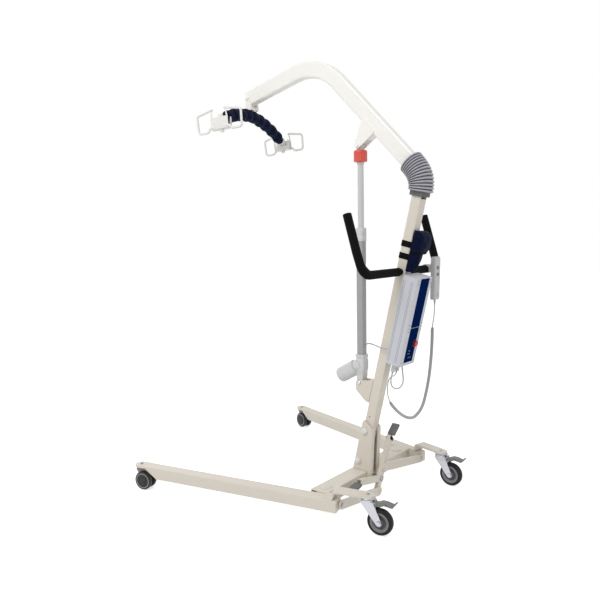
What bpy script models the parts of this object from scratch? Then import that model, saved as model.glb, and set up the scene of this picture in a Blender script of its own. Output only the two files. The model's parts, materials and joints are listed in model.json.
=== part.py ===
"""Electric patient lift: a wheeled base with spreading legs, a leaning mast, an actuator, a lifting boom
and a cradle. Metres, +Z up, the legs and the boom point along -Y, the operator stands at +Y."""
import math

import bmesh
import bpy
from mathutils import Matrix, Vector

# Facets round a wheel, a tube and a small pin
FINE = 16
ROUND = 12
SMALL = 10

# Clearances
GAP = 0.0003
RUN = 0.0006
SIDE_PLAY = 0.0006

# Base: everything is placed from the line through both leg pivots, at Y = 0 of the lift datum
PIVOT_LINE_Y = 0.2422
LEG_PIVOT_X = 0.271
SPLAY = math.radians(14.77)
BEAM_DEPTH = 0.076
BEAM_HEIGHT = 0.050
BEAM_TOP = 0.109
BEAM_WALL = 0.004
BEAM_END_REACH = 0.051
BEAM_SHIFT_Y = 0.001
LEG_BOLT_R = 0.006
LEG_BOLT_CAP_R = 0.025

# Legs, measured in each leg's own frame: origin on the pivot, the leg points along its -Y
LEG_WIDTH = 0.055
LEG_HEIGHT = 0.048
LEG_TOP = 0.106
LEG_WALL = 0.004
LEG_OFFSET = 0.0805
LEG_REAR = 0.082
LEG_NOSE = 0.826
LEG_NOSE_PLATE = 0.009
LEG_LIP_ROOT = 0.003
LEG_SLOPE_START = 0.736
LEG_SLOPE_END = 0.793
TONGUE_WIDTH = 0.040
TONGUE_PLATE = 0.006
TONGUE_SLEEVE_R = 0.013

# Rear arms and rear castors
ARM_WIDTH = 0.052
ARM_PLATE = 0.008
ARM_TOP = 0.144
ARM_FOOT = 0.034
ARM_SETBACK = 0.022
SWIVEL_BACK = 0.198
REAR_WHEEL_R = 0.050
REAR_TRAIL = 0.050
REAR_TURNS = {"left": math.radians(10.0), "right": 0.0}
REAR_WHEEL_WIDTH = 0.030
REAR_CORE_R = 0.037
FORK_PLATE = 0.003
FORK_HEAD_R = 0.026
FORK_HEAD_H = 0.010
REAR_AXLE_R = 0.005
BRAKE_REACH = 0.112
BRAKE_WIDTH = 0.036

# Front twin castors
FRONT_WHEEL_R = 0.040
FRONT_WHEEL_WIDTH = 0.018
FRONT_TRAIL = 0.020
FRONT_HOOD_WIDTH = 0.015
FRONT_AXLE_R = 0.004

# Mast
LEAN = math.radians(12.07)
MAST_FOOT_Y = 0.0146
MAST_FOOT_Z = 0.200
MAST_WIDTH = 0.050
MAST_DEPTH = 0.042
MAST_WALL = 0.0044
MAST_LOW = -0.088
MAST_TOP = 1.139
MAST_EAR_LENGTH = 0.081
MAST_HEEL = 0.030
SOCKET_HALF = 0.035
SOCKET_WALL = 0.005
SOCKET_FLANGE = 0.017
SOCKET_TOP = 0.321
SOCKET_BACK_TOP = 0.292
SOCKET_BACK_LOW = 0.084
SOCKET_BACK_Y = 0.053
MAST_BOLT_R = 0.006
MAST_KNOB_R = 0.014
MAST_BOLT_UPPER = (0.026, 0.280)
MAST_BOLT_LOWER = (-0.004, 0.148)

# Foot pedal that spreads the legs
PEDAL_Y = 0.080
PEDAL_Z = 0.080
PEDAL_DEPTH = 0.016
PEDAL_WIDTH = 0.025
PEDAL_ARM_A = math.radians(-26.0)
PEDAL_ARM_B = math.radians(79.0)
PEDAL_ARM_A_LENGTH = 0.182
PEDAL_ARM_B_LENGTH = 0.158
PEDAL_CRANK = 0.052
PEDAL_BOLT_R = 0.007
PAD_LENGTH = 0.058
PAD_WIDTH = 0.034
PAD_THICK = 0.013
PAD_TILT = math.radians(24.0)
TIE_HEIGHT = 0.036
TIE_PLATE = 0.006
TIE_EYE_X = 0.070
TIE_EYE_BACK = 0.009
TIE_EYE_Z = 0.081
TIE_BALL_R = 0.008
TIE_STUD_R = 0.0035
TIE_STANDOFF = 0.0015

# Boom: hinge, straight rear run, bend and sloping front run
HINGE_Y = 0.243
HINGE_Z = 1.302
BOOM_WIDTH = 0.040
BOOM_HEIGHT = 0.0665
BOOM_LUG_HEIGHT = 0.042
BOOM_WALL = 0.0035
BOOM_CORNER = 0.008
BOOM_JOIN = (0.196, 1.377)
BOOM_BEND = (-0.240, 1.813)
BOOM_BEND_R = 0.230
BOOM_TIP = (-0.633, 1.707)
BOOM_OVERHANG = 0.014
BOOM_PIN_R = 0.006
CLEVIS = (-0.034, 1.453)
CLEVIS_EAR_R = 0.013
CLEVIS_PLATE = 0.005
CLEVIS_PIN_R = 0.006

# Bellows over the boom hinge
BELLOWS_R = 0.050
BELLOWS_GROOVE = 0.0055
BELLOWS_BORE_R = 0.0425
BELLOWS_RIBS = 13
BELLOWS_LOW = 1.243
BELLOWS_REACH = 0.052
CUFF_HEIGHT = 0.018
CUFF_WALL = 0.009

# Lift actuator, measured along its own axis from the lower pin
ACTUATOR_PIN_Y = -0.013
ACTUATOR_PIN_Z = 0.478
ACTUATOR_PIN_R = 0.005
FOOT_WIDTH = 0.038
GEAR_R = 0.0275
GEAR_LOW = 0.024
GEAR_TOP = 0.118
MOTOR_R = 0.033
MOTOR_NECK_R = 0.022
MOTOR_NECK = 0.032
MOTOR_LENGTH = 0.126
MOTOR_DROP = math.radians(30.5)
MOTOR_START = 0.078
TUBE_SIDE = 0.031
TUBE_BORE = 0.0262
TUBE_TOP = 0.590
TUBE_HEAD_SIDE = 0.0335
TUBE_HEAD_TOP = 0.643
ROD_R = 0.0125
ROD_LOW = 0.544
COLLAR_R = 0.0275
COLLAR_LOW = 0.909
COLLAR_HEIGHT = 0.047
ROD_EYE_WIDTH = 0.024
ROD_EYE_R = 0.012
BRACKET_PLATE = 0.005
BRACKET_DROP = 0.078
BRACKET_RISE = 0.017

# Hanger and cradle
HANGER_SWING = math.radians(7.5)
HANGER_PLATE = 0.005
HANGER_WIDTH = 0.034
HANGER_DROP = 0.056
HANGER_PIN_R = 0.006
CRADLE_HEADING = math.radians(16.1)
BAR_DROP = 0.085
BAR_R = 0.0125
BAR_HALF = 0.312
BAR_END_DROOP = 0.073
BAR_RINGS = 12
COVER_INSET = 0.026
COVER_HALF_WIDTH = 0.0205
COVER_HALF_HEIGHT = 0.0255
COVER_CHANNELS = 9
HOOK_PLATE_LENGTH = 0.080
HOOK_PLATE_HEIGHT = 0.050
HOOK_CHANNEL = 0.034
HOOK_WALL = 0.003
HOOK_WIRE_R = 0.004
HOOK_SPAN = 0.218
HOOK_LOOP_HEIGHT = 0.100
HOOK_LOOP_FALL = 0.016
HOOK_BOLT_R = 0.006
HOOK_RIM = -BAR_DROP - BAR_END_DROOP + 0.014
HOOK_SLEEVE_R = 0.0125
HOOK_SLEEVE_RISE = 0.008
HOOK_NOTCH = 0.030
HOOK_NOTCH_DEPTH = 0.030

# Handlebar
BAR_TUBE_R = 0.0125
GRIP_R = 0.0165
BAR_CORNER = (0.290, 0.1752, 0.951)
BAR_MID = (0.294, 0.147, 1.036)
BAR_END = (0.293, 0.103, 1.174)
BAR_BEND_R = 0.070
GRIP_INNER_X = 0.040

# Control box, measured in the mast's own frame
BOX_WIDTH = 0.123
BOX_LOW = 0.408
BOX_TOP = 0.768
BOX_BACK = 0.033
BOX_FRONT = 0.100
COVER_THICK = 0.012
BOX_WALL = 0.003
BOX_SEAM = 0.566
BOX_BLOCK = 0.040
BOX_BLOCK_LOW = 0.050
BOX_BLOCK_TOP = 0.080
BOX_BLOCK_HALF = 0.018
BOX_CORNER = 0.008
PLUG_X = 0.016
PLUG_Y = 0.053
PLUG_LENGTH = 0.042
STOP_X = -0.022
STOP_Z = 0.498
STOP_R = 0.0125
STOP_TRAVEL = 0.004

# Pouch straps round the mast
STRAP_LOWS = (0.820, 0.868)
POUCH_LOW = 0.792
POUCH_TOP = 0.938
STRAP_HEIGHT = 0.024
STRAP_THICK = 0.0016

# Handset on the far half of the handlebar
HANDSET_X = -0.190
HANDSET_Y = 0.217
HANDSET_LOW = 0.826
HANDSET_TOP = 1.003
HANDSET_WIDTH = 0.050
HANDSET_THICK = 0.022
BUTTON_TRAVEL = 0.0015
BUTTON_SEAT = 0.0010

# Cords
CORD_R = 0.0025
CURL_WIRE_R = 0.0018
CURL_R = 0.0063
CURLS = 30
POINTS_PER_CURL = 8

COLOURS = {
    "frame_paint": ((0.74, 0.69, 0.60), 0.35, 0.0),
    "boom_paint": ((0.90, 0.88, 0.85), 0.35, 0.0),
    "zinc": ((0.70, 0.70, 0.74), 0.30, 1.0),
    "steel": ((0.55, 0.55, 0.56), 0.35, 1.0),
    "tyre": ((0.03, 0.03, 0.035), 0.6, 0.0),
    "wheel_core": ((0.32, 0.30, 0.33), 0.5, 0.0),
    "twin_wheel": ((0.06, 0.055, 0.055), 0.5, 0.0),
    "hood_grey": ((0.33, 0.32, 0.33), 0.45, 0.0),
    "brake_grey": ((0.19, 0.20, 0.19), 0.5, 0.0),
    "pad_grey": ((0.25, 0.25, 0.26), 0.7, 0.0),
    "knob_white": ((0.85, 0.86, 0.84), 0.3, 0.0),
    "bellows_grey": ((0.42, 0.42, 0.50), 0.6, 0.0),
    "housing_grey": ((0.62, 0.63, 0.64), 0.45, 0.0),
    "rod_grey": ((0.66, 0.67, 0.65), 0.3, 0.0),
    "release_red": ((0.75, 0.07, 0.05), 0.4, 0.0),
    "navy_fabric": ((0.012, 0.02, 0.07), 0.9, 0.0),
    "foam_black": ((0.015, 0.014, 0.016), 0.8, 0.0),
    "box_grey": ((0.58, 0.60, 0.66), 0.45, 0.0),
    "handset_grey": ((0.52, 0.52, 0.52), 0.5, 0.0),
    "button_dark": ((0.12, 0.12, 0.13), 0.5, 0.0),
    "cord_grey": ((0.30, 0.30, 0.31), 0.5, 0.0),
    "battery_black": ((0.04, 0.04, 0.045), 0.5, 0.0),
    "board_green": ((0.03, 0.16, 0.08), 0.5, 0.0),
    "hook_white": ((0.82, 0.81, 0.77), 0.35, 0.0),
}


def clear_scene():
    for item in list(bpy.data.objects):
        bpy.data.objects.remove(item, do_unlink=True)


def paint(name):
    found = bpy.data.materials.get(name)
    if found:
        return found
    colour, roughness, metallic = COLOURS[name]
    made = bpy.data.materials.new(name)
    made.use_nodes = True
    shader = made.node_tree.nodes["Principled BSDF"]
    shader.inputs["Base Color"].default_value = (*colour, 1.0)
    shader.inputs["Roughness"].default_value = roughness
    shader.inputs["Metallic"].default_value = metallic
    return made


def frame_at(name, parent, place=(0, 0, 0), turn=(0, 0, 0)):
    """An empty that carries the pieces of one body, on its joint's axis."""
    empty = bpy.data.objects.new(name, None)
    bpy.context.collection.objects.link(empty)
    empty.parent = parent
    empty.location = place
    empty.rotation_euler = turn
    return empty


def piece(name, bm, colour, parent):
    bmesh.ops.remove_doubles(bm, verts=bm.verts, dist=1e-6)
    bmesh.ops.recalc_face_normals(bm, faces=bm.faces)
    mesh = bpy.data.meshes.new(name)
    bm.to_mesh(mesh)
    bm.free()
    mesh.shade_smooth()
    mesh.set_sharp_from_angle(angle=math.radians(35))
    if colour:
        mesh.materials.append(paint(colour))
    made = bpy.data.objects.new(name, mesh)
    bpy.context.collection.objects.link(made)
    made.parent = parent
    return made


def hide_tool(tool):
    tool.hide_render = True
    tool.display_type = "WIRE"


def combine(target, tool, operation):
    hide_tool(tool)
    change = target.modifiers.new(operation.lower() + "_" + tool.name, "BOOLEAN")
    change.operation = operation
    change.solver = "EXACT"
    change.object = tool
    return target


def cut(target, bm, parent):
    return combine(target, piece("cut_" + target.name, bm, None, parent), "DIFFERENCE")


def fuse(target, bm, parent):
    return combine(target, piece("add_" + target.name, bm, None, parent), "UNION")


def bevel(target, width, segments=1, angle=50):
    rounding = target.modifiers.new("edges", "BEVEL")
    rounding.width = width
    rounding.segments = segments
    rounding.limit_method = "ANGLE"
    rounding.angle_limit = math.radians(angle)
    return target


def loft(rings, closed_path=False):
    """Skin through rings of points, capped at both ends unless the path closes on itself."""
    bm = bmesh.new()
    made = [[bm.verts.new(point) for point in ring] for ring in rings]
    count = len(made[0])
    spans = list(zip(made, made[1:]))
    if closed_path:
        spans.append((made[-1], made[0]))
    for low, high in spans:
        for i in range(count):
            j = (i + 1) % count
            bm.faces.new((low[i], low[j], high[j], high[i]))
    if not closed_path:
        bm.faces.new(reversed(made[0]))
        bm.faces.new(made[-1])
    return bm


def prism(outline, low, high, across="Z"):
    """A flat outline pushed from low to high along one axis."""
    def place(u, v, w):
        if across == "X":
            return Vector((w, u, v))
        if across == "Y":
            return Vector((u, w, v))
        return Vector((u, v, w))
    return loft([[place(u, v, w) for u, v in outline] for w in (low, high)])


def box(low, high):
    (x0, y0, z0), (x1, y1, z1) = low, high
    return prism([(x0, y0), (x1, y0), (x1, y1), (x0, y1)], z0, z1)


def rounded_outline(width, height, radius, steps=2, centre=(0, 0)):
    points = []
    for sx, sy, start in ((1, 1, 0), (-1, 1, 90), (-1, -1, 180), (1, -1, 270)):
        cx = centre[0] + sx * (width / 2 - radius)
        cy = centre[1] + sy * (height / 2 - radius)
        for k in range(steps + 1):
            angle = math.radians(start + 90 * k / steps)
            points.append((cx + radius * math.cos(angle), cy + radius * math.sin(angle)))
    return points


def circle(radius, steps=ROUND, centre=(0, 0)):
    turns = (2 * math.pi * k / steps for k in range(steps))
    return [(centre[0] + radius * math.cos(a), centre[1] + radius * math.sin(a)) for a in turns]


def arc(radius, start, finish, centre=(0, 0), steps=ROUND // 2):
    turns = (math.radians(start + (finish - start) * k / steps) for k in range(steps + 1))
    return [(centre[0] + radius * math.cos(a), centre[1] + radius * math.sin(a)) for a in turns]


def rod(radius, low, high, across="Z", centre=(0, 0), steps=ROUND):
    return prism(circle(radius, steps, centre), low, high, across)


def turned(profile, across="Z", centre=(0, 0, 0), steps=ROUND):
    """A profile of (radius, height) points, spun about the axis. It closes on the axis or on itself."""
    bm = bmesh.new()
    columns = []
    for k in range(steps):
        angle = 2 * math.pi * k / steps
        column = []
        for radius, height in profile:
            if radius == 0 and columns:
                column.append(columns[0][len(column)])
                continue
            u, v = radius * math.cos(angle), radius * math.sin(angle)
            point = {"Z": (u, v, height), "X": (height, u, v), "Y": (v, height, u)}[across]
            column.append(bm.verts.new(Vector(point) + Vector(centre)))
        columns.append(column)
    last = len(profile) if profile[0][0] > 0 else len(profile) - 1
    for k in range(steps):
        here, there = columns[k], columns[(k + 1) % steps]
        for i in range(last):
            j = (i + 1) % len(profile)
            corners = []
            for corner in (here[i], here[j], there[j], there[i]):
                if corner not in corners:
                    corners.append(corner)
            if len(corners) > 2:
                bm.faces.new(corners)
    return bm


def arc_path(points, radius, steps=6):
    """A polyline with each inner corner rounded to the radius."""
    points = [Vector(point) for point in points]
    path = [points[0]]
    for before, corner, after in zip(points, points[1:], points[2:]):
        back, ahead = (before - corner).normalized(), (after - corner).normalized()
        half = back.angle(ahead) / 2
        reach = radius / math.tan(half)
        centre = corner + (back + ahead).normalized() * (radius / math.sin(half))
        start, finish = corner + back * reach - centre, corner + ahead * reach - centre
        total = start.angle(finish)
        for k in range(steps + 1):
            share = k / steps
            mixed = start * math.sin((1 - share) * total) + finish * math.sin(share * total)
            path.append(centre + mixed / math.sin(total))
    path.append(points[-1])
    return path


def rings_along(path, section, side):
    """Section outlines square to a path, with their first axis kept near the side vector.
    The section is a list of points or a function of the point's number."""
    rings = []
    for k, point in enumerate(path):
        before, after = path[max(k - 1, 0)], path[min(k + 1, len(path) - 1)]
        ahead = (after - before).normalized()
        up = ahead.cross(side).normalized()
        across = up.cross(ahead).normalized()
        outline = section(k) if callable(section) else section
        rings.append([point + across * u + up * v for u, v in outline])
    return rings


def hull_of_circle(centre, radius, points, steps=8):
    """Convex outline round a circle and some points."""
    cloud = [(centre[0] + radius * math.cos(2 * math.pi * k / (steps * 2)),
              centre[1] + radius * math.sin(2 * math.pi * k / (steps * 2))) for k in range(steps * 2)]
    cloud = sorted(cloud + list(points))
    chains = []
    for ordered in (cloud, cloud[::-1]):
        chain = []
        for p in ordered:
            while len(chain) > 1:
                (ax, ay), (bx, by) = chain[-2], chain[-1]
                if (bx - ax) * (p[1] - ay) - (by - ay) * (p[0] - ax) > 1e-12:
                    break
                chain.pop()
            chain.append(p)
        chains.append(chain[:-1])
    return chains[0] + chains[1]


def mast_y(z, offset=0.0):
    """Y of the plane that lies offset behind the mast's centre, at height z."""
    return MAST_FOOT_Y + (z - MAST_FOOT_Z) * math.tan(LEAN) + offset / math.cos(LEAN)


# Base

def beam_outline():
    front = BEAM_SHIFT_Y - BEAM_DEPTH / 2
    rear = BEAM_SHIFT_Y + BEAM_DEPTH / 2
    square_x = LEG_PIVOT_X + BEAM_END_REACH
    mitre_y = BEAM_END_REACH * (1 - math.cos(SPLAY)) / math.sin(SPLAY)
    rear_x = LEG_PIVOT_X + (BEAM_END_REACH - rear * math.sin(SPLAY)) / math.cos(SPLAY)
    half = [(square_x, front), (square_x, mitre_y), (rear_x, rear)]
    return half + [(-x, y) for x, y in reversed(half)]


def make_crossbeam(root):
    low = BEAM_TOP - BEAM_HEIGHT
    beam = bevel(piece("crossbeam", prism(beam_outline(), low, BEAM_TOP), "frame_paint", root), 0.002)
    front = BEAM_SHIFT_Y - BEAM_DEPTH / 2 + BEAM_WALL
    rear = BEAM_SHIFT_Y + BEAM_DEPTH / 2 - BEAM_WALL
    reach = LEG_PIVOT_X + 0.1
    inner = box((-reach, front, low + BEAM_WALL), (reach, rear, BEAM_TOP - BEAM_WALL))
    cut(beam, inner, root)
    for side in (1, -1):
        hole = rod(LEG_BOLT_R + GAP, low - 0.01, BEAM_TOP + 0.01, centre=(side * LEG_PIVOT_X, 0))
        cut(beam, hole, root)
    return beam


def make_leg_bolt(name, side, root):
    low = BEAM_TOP - BEAM_HEIGHT
    profile = [(0, BEAM_TOP + 0.006), (0.014, BEAM_TOP + 0.005), (LEG_BOLT_CAP_R - 0.002, BEAM_TOP + 0.003),
               (LEG_BOLT_CAP_R, BEAM_TOP + GAP), (LEG_BOLT_R, BEAM_TOP + GAP), (LEG_BOLT_R, low - GAP),
               (0.011, low - GAP), (0.011, low - 0.009), (0, low - 0.009)]
    return piece(name, turned(profile, centre=(side * LEG_PIVOT_X, 0, 0)), "frame_paint", root)


def make_leg(side_name, side, frame):
    """Box tube with a sloped nose, a flat lip over the castor, a tongue into the beam and a rear arm."""
    low = LEG_TOP - LEG_HEIGHT
    lip = LEG_TOP - LEG_NOSE_PLATE
    x = side * LEG_OFFSET
    profile = [(LEG_REAR, low), (-LEG_SLOPE_START, low), (-LEG_SLOPE_END, lip), (-LEG_SLOPE_END, LEG_TOP),
               (LEG_REAR, LEG_TOP)]
    bm = prism(profile, x - LEG_WIDTH / 2, x + LEG_WIDTH / 2, "X")
    leg = bevel(piece(side_name + "_leg", bm, "frame_paint", frame), 0.003)
    nose = arc(LEG_WIDTH / 2 - GAP, 180, 360, (x, -LEG_NOSE), FINE // 2)
    nose += [(nose[-1][0], LEG_LIP_ROOT - LEG_SLOPE_END), (nose[0][0], LEG_LIP_ROOT - LEG_SLOPE_END)]
    fuse(leg, prism(nose, lip, LEG_TOP - GAP), frame)
    w = LEG_WALL
    inside = [(LEG_REAR - w, low + w), (-LEG_SLOPE_START + w * 0.7, low + w),
              (-LEG_SLOPE_END + w * 1.5, lip - w * 0.5), (-LEG_SLOPE_END + w * 1.5, LEG_TOP - w),
              (LEG_REAR - w, LEG_TOP - w)]
    cut(leg, prism(inside, x - LEG_WIDTH / 2 + w, x + LEG_WIDTH / 2 - w, "X"), frame)
    cut(leg, rod(0.005, low - 0.01, low + w * 2, centre=(x, -LEG_SLOPE_START + 0.05), steps=SMALL), frame)
    add_tongue(leg, side, frame)
    cut(leg, rod(0.006 + GAP, lip - 0.01, LEG_TOP + 0.01, centre=(x, -LEG_NOSE)), frame)
    add_rear_arm(leg, side, frame)
    add_tie_stud(leg, side, frame)
    return leg


def add_tongue(leg, side, frame):
    """Two plates with a sleeve between them, inside the beam's open end and round the pivot bolt."""
    top = BEAM_TOP - BEAM_WALL - RUN
    low = BEAM_TOP - BEAM_HEIGHT + BEAM_WALL + RUN
    reach = LEG_OFFSET - LEG_WIDTH / 2 + 0.002
    half = TONGUE_WIDTH / 2
    outline = arc(half, 90, 270)
    outline = [(side * u, side * v) for u, v in outline] + [(side * reach, -side * half), (side * reach, side * half)]
    for bottom in (low, top - TONGUE_PLATE):
        fuse(leg, prism(outline, bottom, bottom + TONGUE_PLATE), frame)
    fuse(leg, rod(TONGUE_SLEEVE_R, low + TONGUE_PLATE / 2, top - TONGUE_PLATE / 2), frame)
    cut(leg, rod(LEG_BOLT_R + GAP, low - 0.01, top + 0.01), frame)


def add_rear_arm(leg, side, frame):
    """Bent plate from the leg's top to the rear castor's swivel."""
    x = side * LEG_OFFSET
    riser = LEG_REAR - ARM_SETBACK
    middle = [(0, riser - ARM_FOOT, LEG_TOP + ARM_PLATE / 2 - 0.001),
              (0, riser + ARM_PLATE / 4, LEG_TOP + ARM_PLATE / 2 - 0.001),
              (0, riser + ARM_PLATE, ARM_TOP - ARM_PLATE / 2), (0, SWIVEL_BACK, ARM_TOP - ARM_PLATE / 2)]
    path = arc_path([Vector(point) + Vector((x, 0, 0)) for point in middle], ARM_PLATE * 0.9, 3)
    half = ARM_WIDTH / 2
    section = [(-half, -ARM_PLATE / 2), (half, -ARM_PLATE / 2), (half, ARM_PLATE / 2), (-half, ARM_PLATE / 2)]
    fuse(leg, loft(rings_along(path, section, Vector((1, 0, 0)))), frame)
    end = rod(half, ARM_TOP - ARM_PLATE, ARM_TOP, centre=(x, SWIVEL_BACK), steps=FINE)
    fuse(leg, end, frame)
    cut(leg, rod(0.006 + GAP, ARM_TOP - 0.02, ARM_TOP + 0.01, centre=(x, SWIVEL_BACK)), frame)


def add_tie_stud(leg, side, frame):
    """Short stud behind the leg's end that carries the ball of the tie link."""
    centre = (side * TIE_EYE_X, 0, TIE_EYE_Z)
    back = LEG_REAR + TIE_EYE_BACK
    profile = [(0, LEG_REAR - 0.002), (TIE_STUD_R, LEG_REAR - 0.002), (TIE_STUD_R, back + 0.0055),
               (0.0065, back + 0.0055), (0.005, back + 0.0085), (0, back + 0.009)]
    fuse(leg, turned(profile, "Y", centre, SMALL), frame)


# Rear castors

def make_fork(name, frame):
    """Pressed fork: a dished head, two cheeks that run back to the axle, the stem and the axle."""
    head_top = ARM_TOP - ARM_PLATE - GAP
    head_low = head_top - FORK_HEAD_H
    crown_low = head_low - 0.006
    half = REAR_WHEEL_WIDTH / 2 + 0.0025
    axle = (REAR_TRAIL, REAR_WHEEL_R)
    cheek = hull_of_circle(axle, 0.012, [(-0.020, crown_low + 0.005), (0.026, crown_low + 0.005),
                                         (-0.021, crown_low - 0.004), (0.030, crown_low - 0.012)], 8)
    profile = [(0, head_top), (FORK_HEAD_R - 0.002, head_top), (FORK_HEAD_R, head_top - 0.003),
               (FORK_HEAD_R, head_low), (FORK_HEAD_R - 0.003, head_low - 0.002),
               (FORK_HEAD_R - 0.003, crown_low), (0, crown_low)]
    fork = piece(name, turned(profile, steps=FINE), "zinc", frame)
    for side in (1, -1):
        inner = side * half
        outer = side * (half + FORK_PLATE)
        fuse(fork, prism(cheek, min(inner, outer), max(inner, outer), "X"), frame)
    crown = box((-half - FORK_PLATE, -0.020, crown_low), (half + FORK_PLATE, 0.026, crown_low + 0.005))
    fuse(fork, crown, frame)
    span = half + FORK_PLATE + 0.003
    fuse(fork, rod(REAR_AXLE_R, -span, span, "X", axle, SMALL), frame)
    for side in (1, -1):
        ends = sorted((side * (half + FORK_PLATE - 0.001), side * (span + 0.002)))
        fuse(fork, rod(REAR_AXLE_R * 1.8, ends[0], ends[1], "X", axle, 6), frame)
    fuse(fork, rod(0.006, head_top - 0.002, ARM_TOP + 0.004, steps=SMALL), frame)
    return fork


def make_wheel_core(name, frame):
    half = REAR_WHEEL_WIDTH / 2
    bore = REAR_AXLE_R + GAP
    profile = [(bore, -half - 0.001), (0.011, -half - 0.001), (0.024, -half + 0.006), (0.028, -half + 0.002),
               (REAR_CORE_R, -half + 0.003), (REAR_CORE_R, half - 0.003), (0.028, half - 0.002),
               (0.024, half - 0.006), (0.011, half + 0.001), (bore, half + 0.001)]
    return piece(name, turned(profile, "X", steps=FINE), "wheel_core", frame)


def make_tyre(name, frame):
    half = REAR_WHEEL_WIDTH / 2
    low = REAR_CORE_R + GAP
    profile = [(low, -half + 0.003), (REAR_WHEEL_R - 0.006, -half + 0.001), (REAR_WHEEL_R - 0.002, -half + 0.005),
               (REAR_WHEEL_R, -half + 0.011), (REAR_WHEEL_R, half - 0.011), (REAR_WHEEL_R - 0.002, half - 0.005),
               (REAR_WHEEL_R - 0.006, half - 0.001), (low, half - 0.003)]
    return piece(name, turned(profile, "X", steps=FINE), "tyre", frame)


def make_brake(name, frame):
    """Foot brake between the fork's cheeks: a pivot barrel, a shoe over the tyre and a tail to step on.
    Its frame lies on its own pivot, behind the fork's head."""
    half = REAR_WHEEL_WIDTH / 2 + 0.0025 - SIDE_PLAY
    barrel = rod(0.0055, -half, half, "X", steps=SMALL)
    brake = piece(name, barrel, "brake_grey", frame)
    pivot = brake_pivot()
    reach = BRAKE_REACH - pivot[0]
    top = ARM_TOP - ARM_PLATE - GAP - RUN - pivot[1]
    tail = [(0.0, -0.004), (0.020, -0.003), (0.034, 0.004), (reach - 0.012, 0.000), (reach, top - 0.006),
            (reach - 0.002, top - 0.001), (reach - 0.014, 0.009), (0.040, 0.015), (0.022, 0.0145), (0.0, 0.0045)]
    shell = prism(tail, -BRAKE_WIDTH / 2 + 0.004, BRAKE_WIDTH / 2 - 0.004, "X")
    fuse(brake, shell, frame)
    wings = box((-BRAKE_WIDTH / 2, 0.030, 0.0055), (BRAKE_WIDTH / 2, 0.041, 0.0125))
    fuse(brake, wings, frame)
    return brake


def brake_pivot():
    """Place of the brake's pivot in the fork's frame: behind the head, over the wheel."""
    return (0.034, ARM_TOP - ARM_PLATE - FORK_HEAD_H - 0.012)


# Front twin castors

def make_hood(name, frame):
    """Arched hood between the two wheels, with the stem into the leg's lip and the axle."""
    top = LEG_TOP - LEG_NOSE_PLATE - GAP
    half = FRONT_HOOD_WIDTH / 2
    axle = (FRONT_TRAIL, FRONT_WHEEL_R)
    outline = hull_of_circle(axle, 0.013, [(-0.021, top), (0.024, top), (-0.024, top - 0.016),
                                           (0.034, top - 0.020)], 8)
    hood = piece(name, prism(outline, -half, half, "X"), "hood_grey", frame)
    cap = [(0.0, top), (0.021, top), (0.022, top - 0.006), (0.014, top - 0.011), (0.0, top - 0.011)]
    fuse(hood, turned(cap), frame)
    fuse(hood, rod(0.006, top - 0.004, LEG_TOP + 0.003, steps=SMALL), frame)
    cut(hood, rod(FRONT_AXLE_R + GAP, -0.03, 0.03, "X", axle, SMALL), frame)
    return hood


def make_twin_wheels(name, frame):
    """Two wheels on one axle, one each side of the hood."""
    inner = FRONT_HOOD_WIDTH / 2 + SIDE_PLAY
    outer = inner + FRONT_WHEEL_WIDTH
    r = FRONT_WHEEL_R
    right = [(FRONT_AXLE_R, inner), (r - 0.005, inner), (r, inner + 0.004), (r, outer - 0.006),
             (r - 0.007, outer), (r - 0.014, outer - 0.001), (r - 0.016, outer - 0.005), (0, outer - 0.003)]
    profile = [(radius, -height) for radius, height in reversed(right)] + right
    return piece(name, turned(profile, "X", steps=FINE), "twin_wheel", frame)


# Pedal and tie links

def make_pedal(frame):
    """Bell crank lever: two arms at a fixed angle, a boss, and the first arm carried on below it."""
    half = PEDAL_DEPTH / 2
    pedal = piece("pedal_lever", rod(0.019, -half, half, "Y"), "frame_paint", frame)
    runs = ((PEDAL_ARM_A, -PEDAL_CRANK, PEDAL_ARM_A_LENGTH), (PEDAL_ARM_B, 0.0, PEDAL_ARM_B_LENGTH))
    for angle, start, finish in runs:
        ahead = Vector((math.sin(angle), math.cos(angle)))
        across = Vector((ahead.y, -ahead.x)) * PEDAL_WIDTH / 2
        corners = [ahead * start - across, ahead * start + across, ahead * finish + across, ahead * finish - across]
        fuse(pedal, prism([tuple(c) for c in corners], -half + 0.0002, half - 0.0002, "Y"), frame)
    low = crank_point(-1)
    fuse(pedal, rod(PEDAL_WIDTH / 2, -half, half, "Y", low), frame)
    cut(pedal, rod(PEDAL_BOLT_R + GAP, -half - 0.01, half + 0.01, "Y"), frame)
    for angle, finish in ((PEDAL_ARM_A, PEDAL_ARM_A_LENGTH), (PEDAL_ARM_B, PEDAL_ARM_B_LENGTH)):
        ahead = Vector((math.sin(angle), math.cos(angle)))
        across = Vector((ahead.y, -ahead.x)) * (PEDAL_WIDTH / 2 - 0.003)
        start, stop = finish - 0.030, finish + 0.010
        corners = [ahead * start - across, ahead * start + across, ahead * stop + across, ahead * stop - across]
        cut(pedal, prism([tuple(c) for c in corners], -half + 0.003, half - 0.003, "Y"), frame)
    return pedal


def crank_point(sign):
    """A tie link's bolt on the lever, in the lever's frame: above the hinge for 1, below it for -1."""
    reach = PEDAL_CRANK * sign * (0.96 if sign > 0 else 1.0)
    return (math.sin(PEDAL_ARM_A) * reach, math.cos(PEDAL_ARM_A) * reach)


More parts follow.
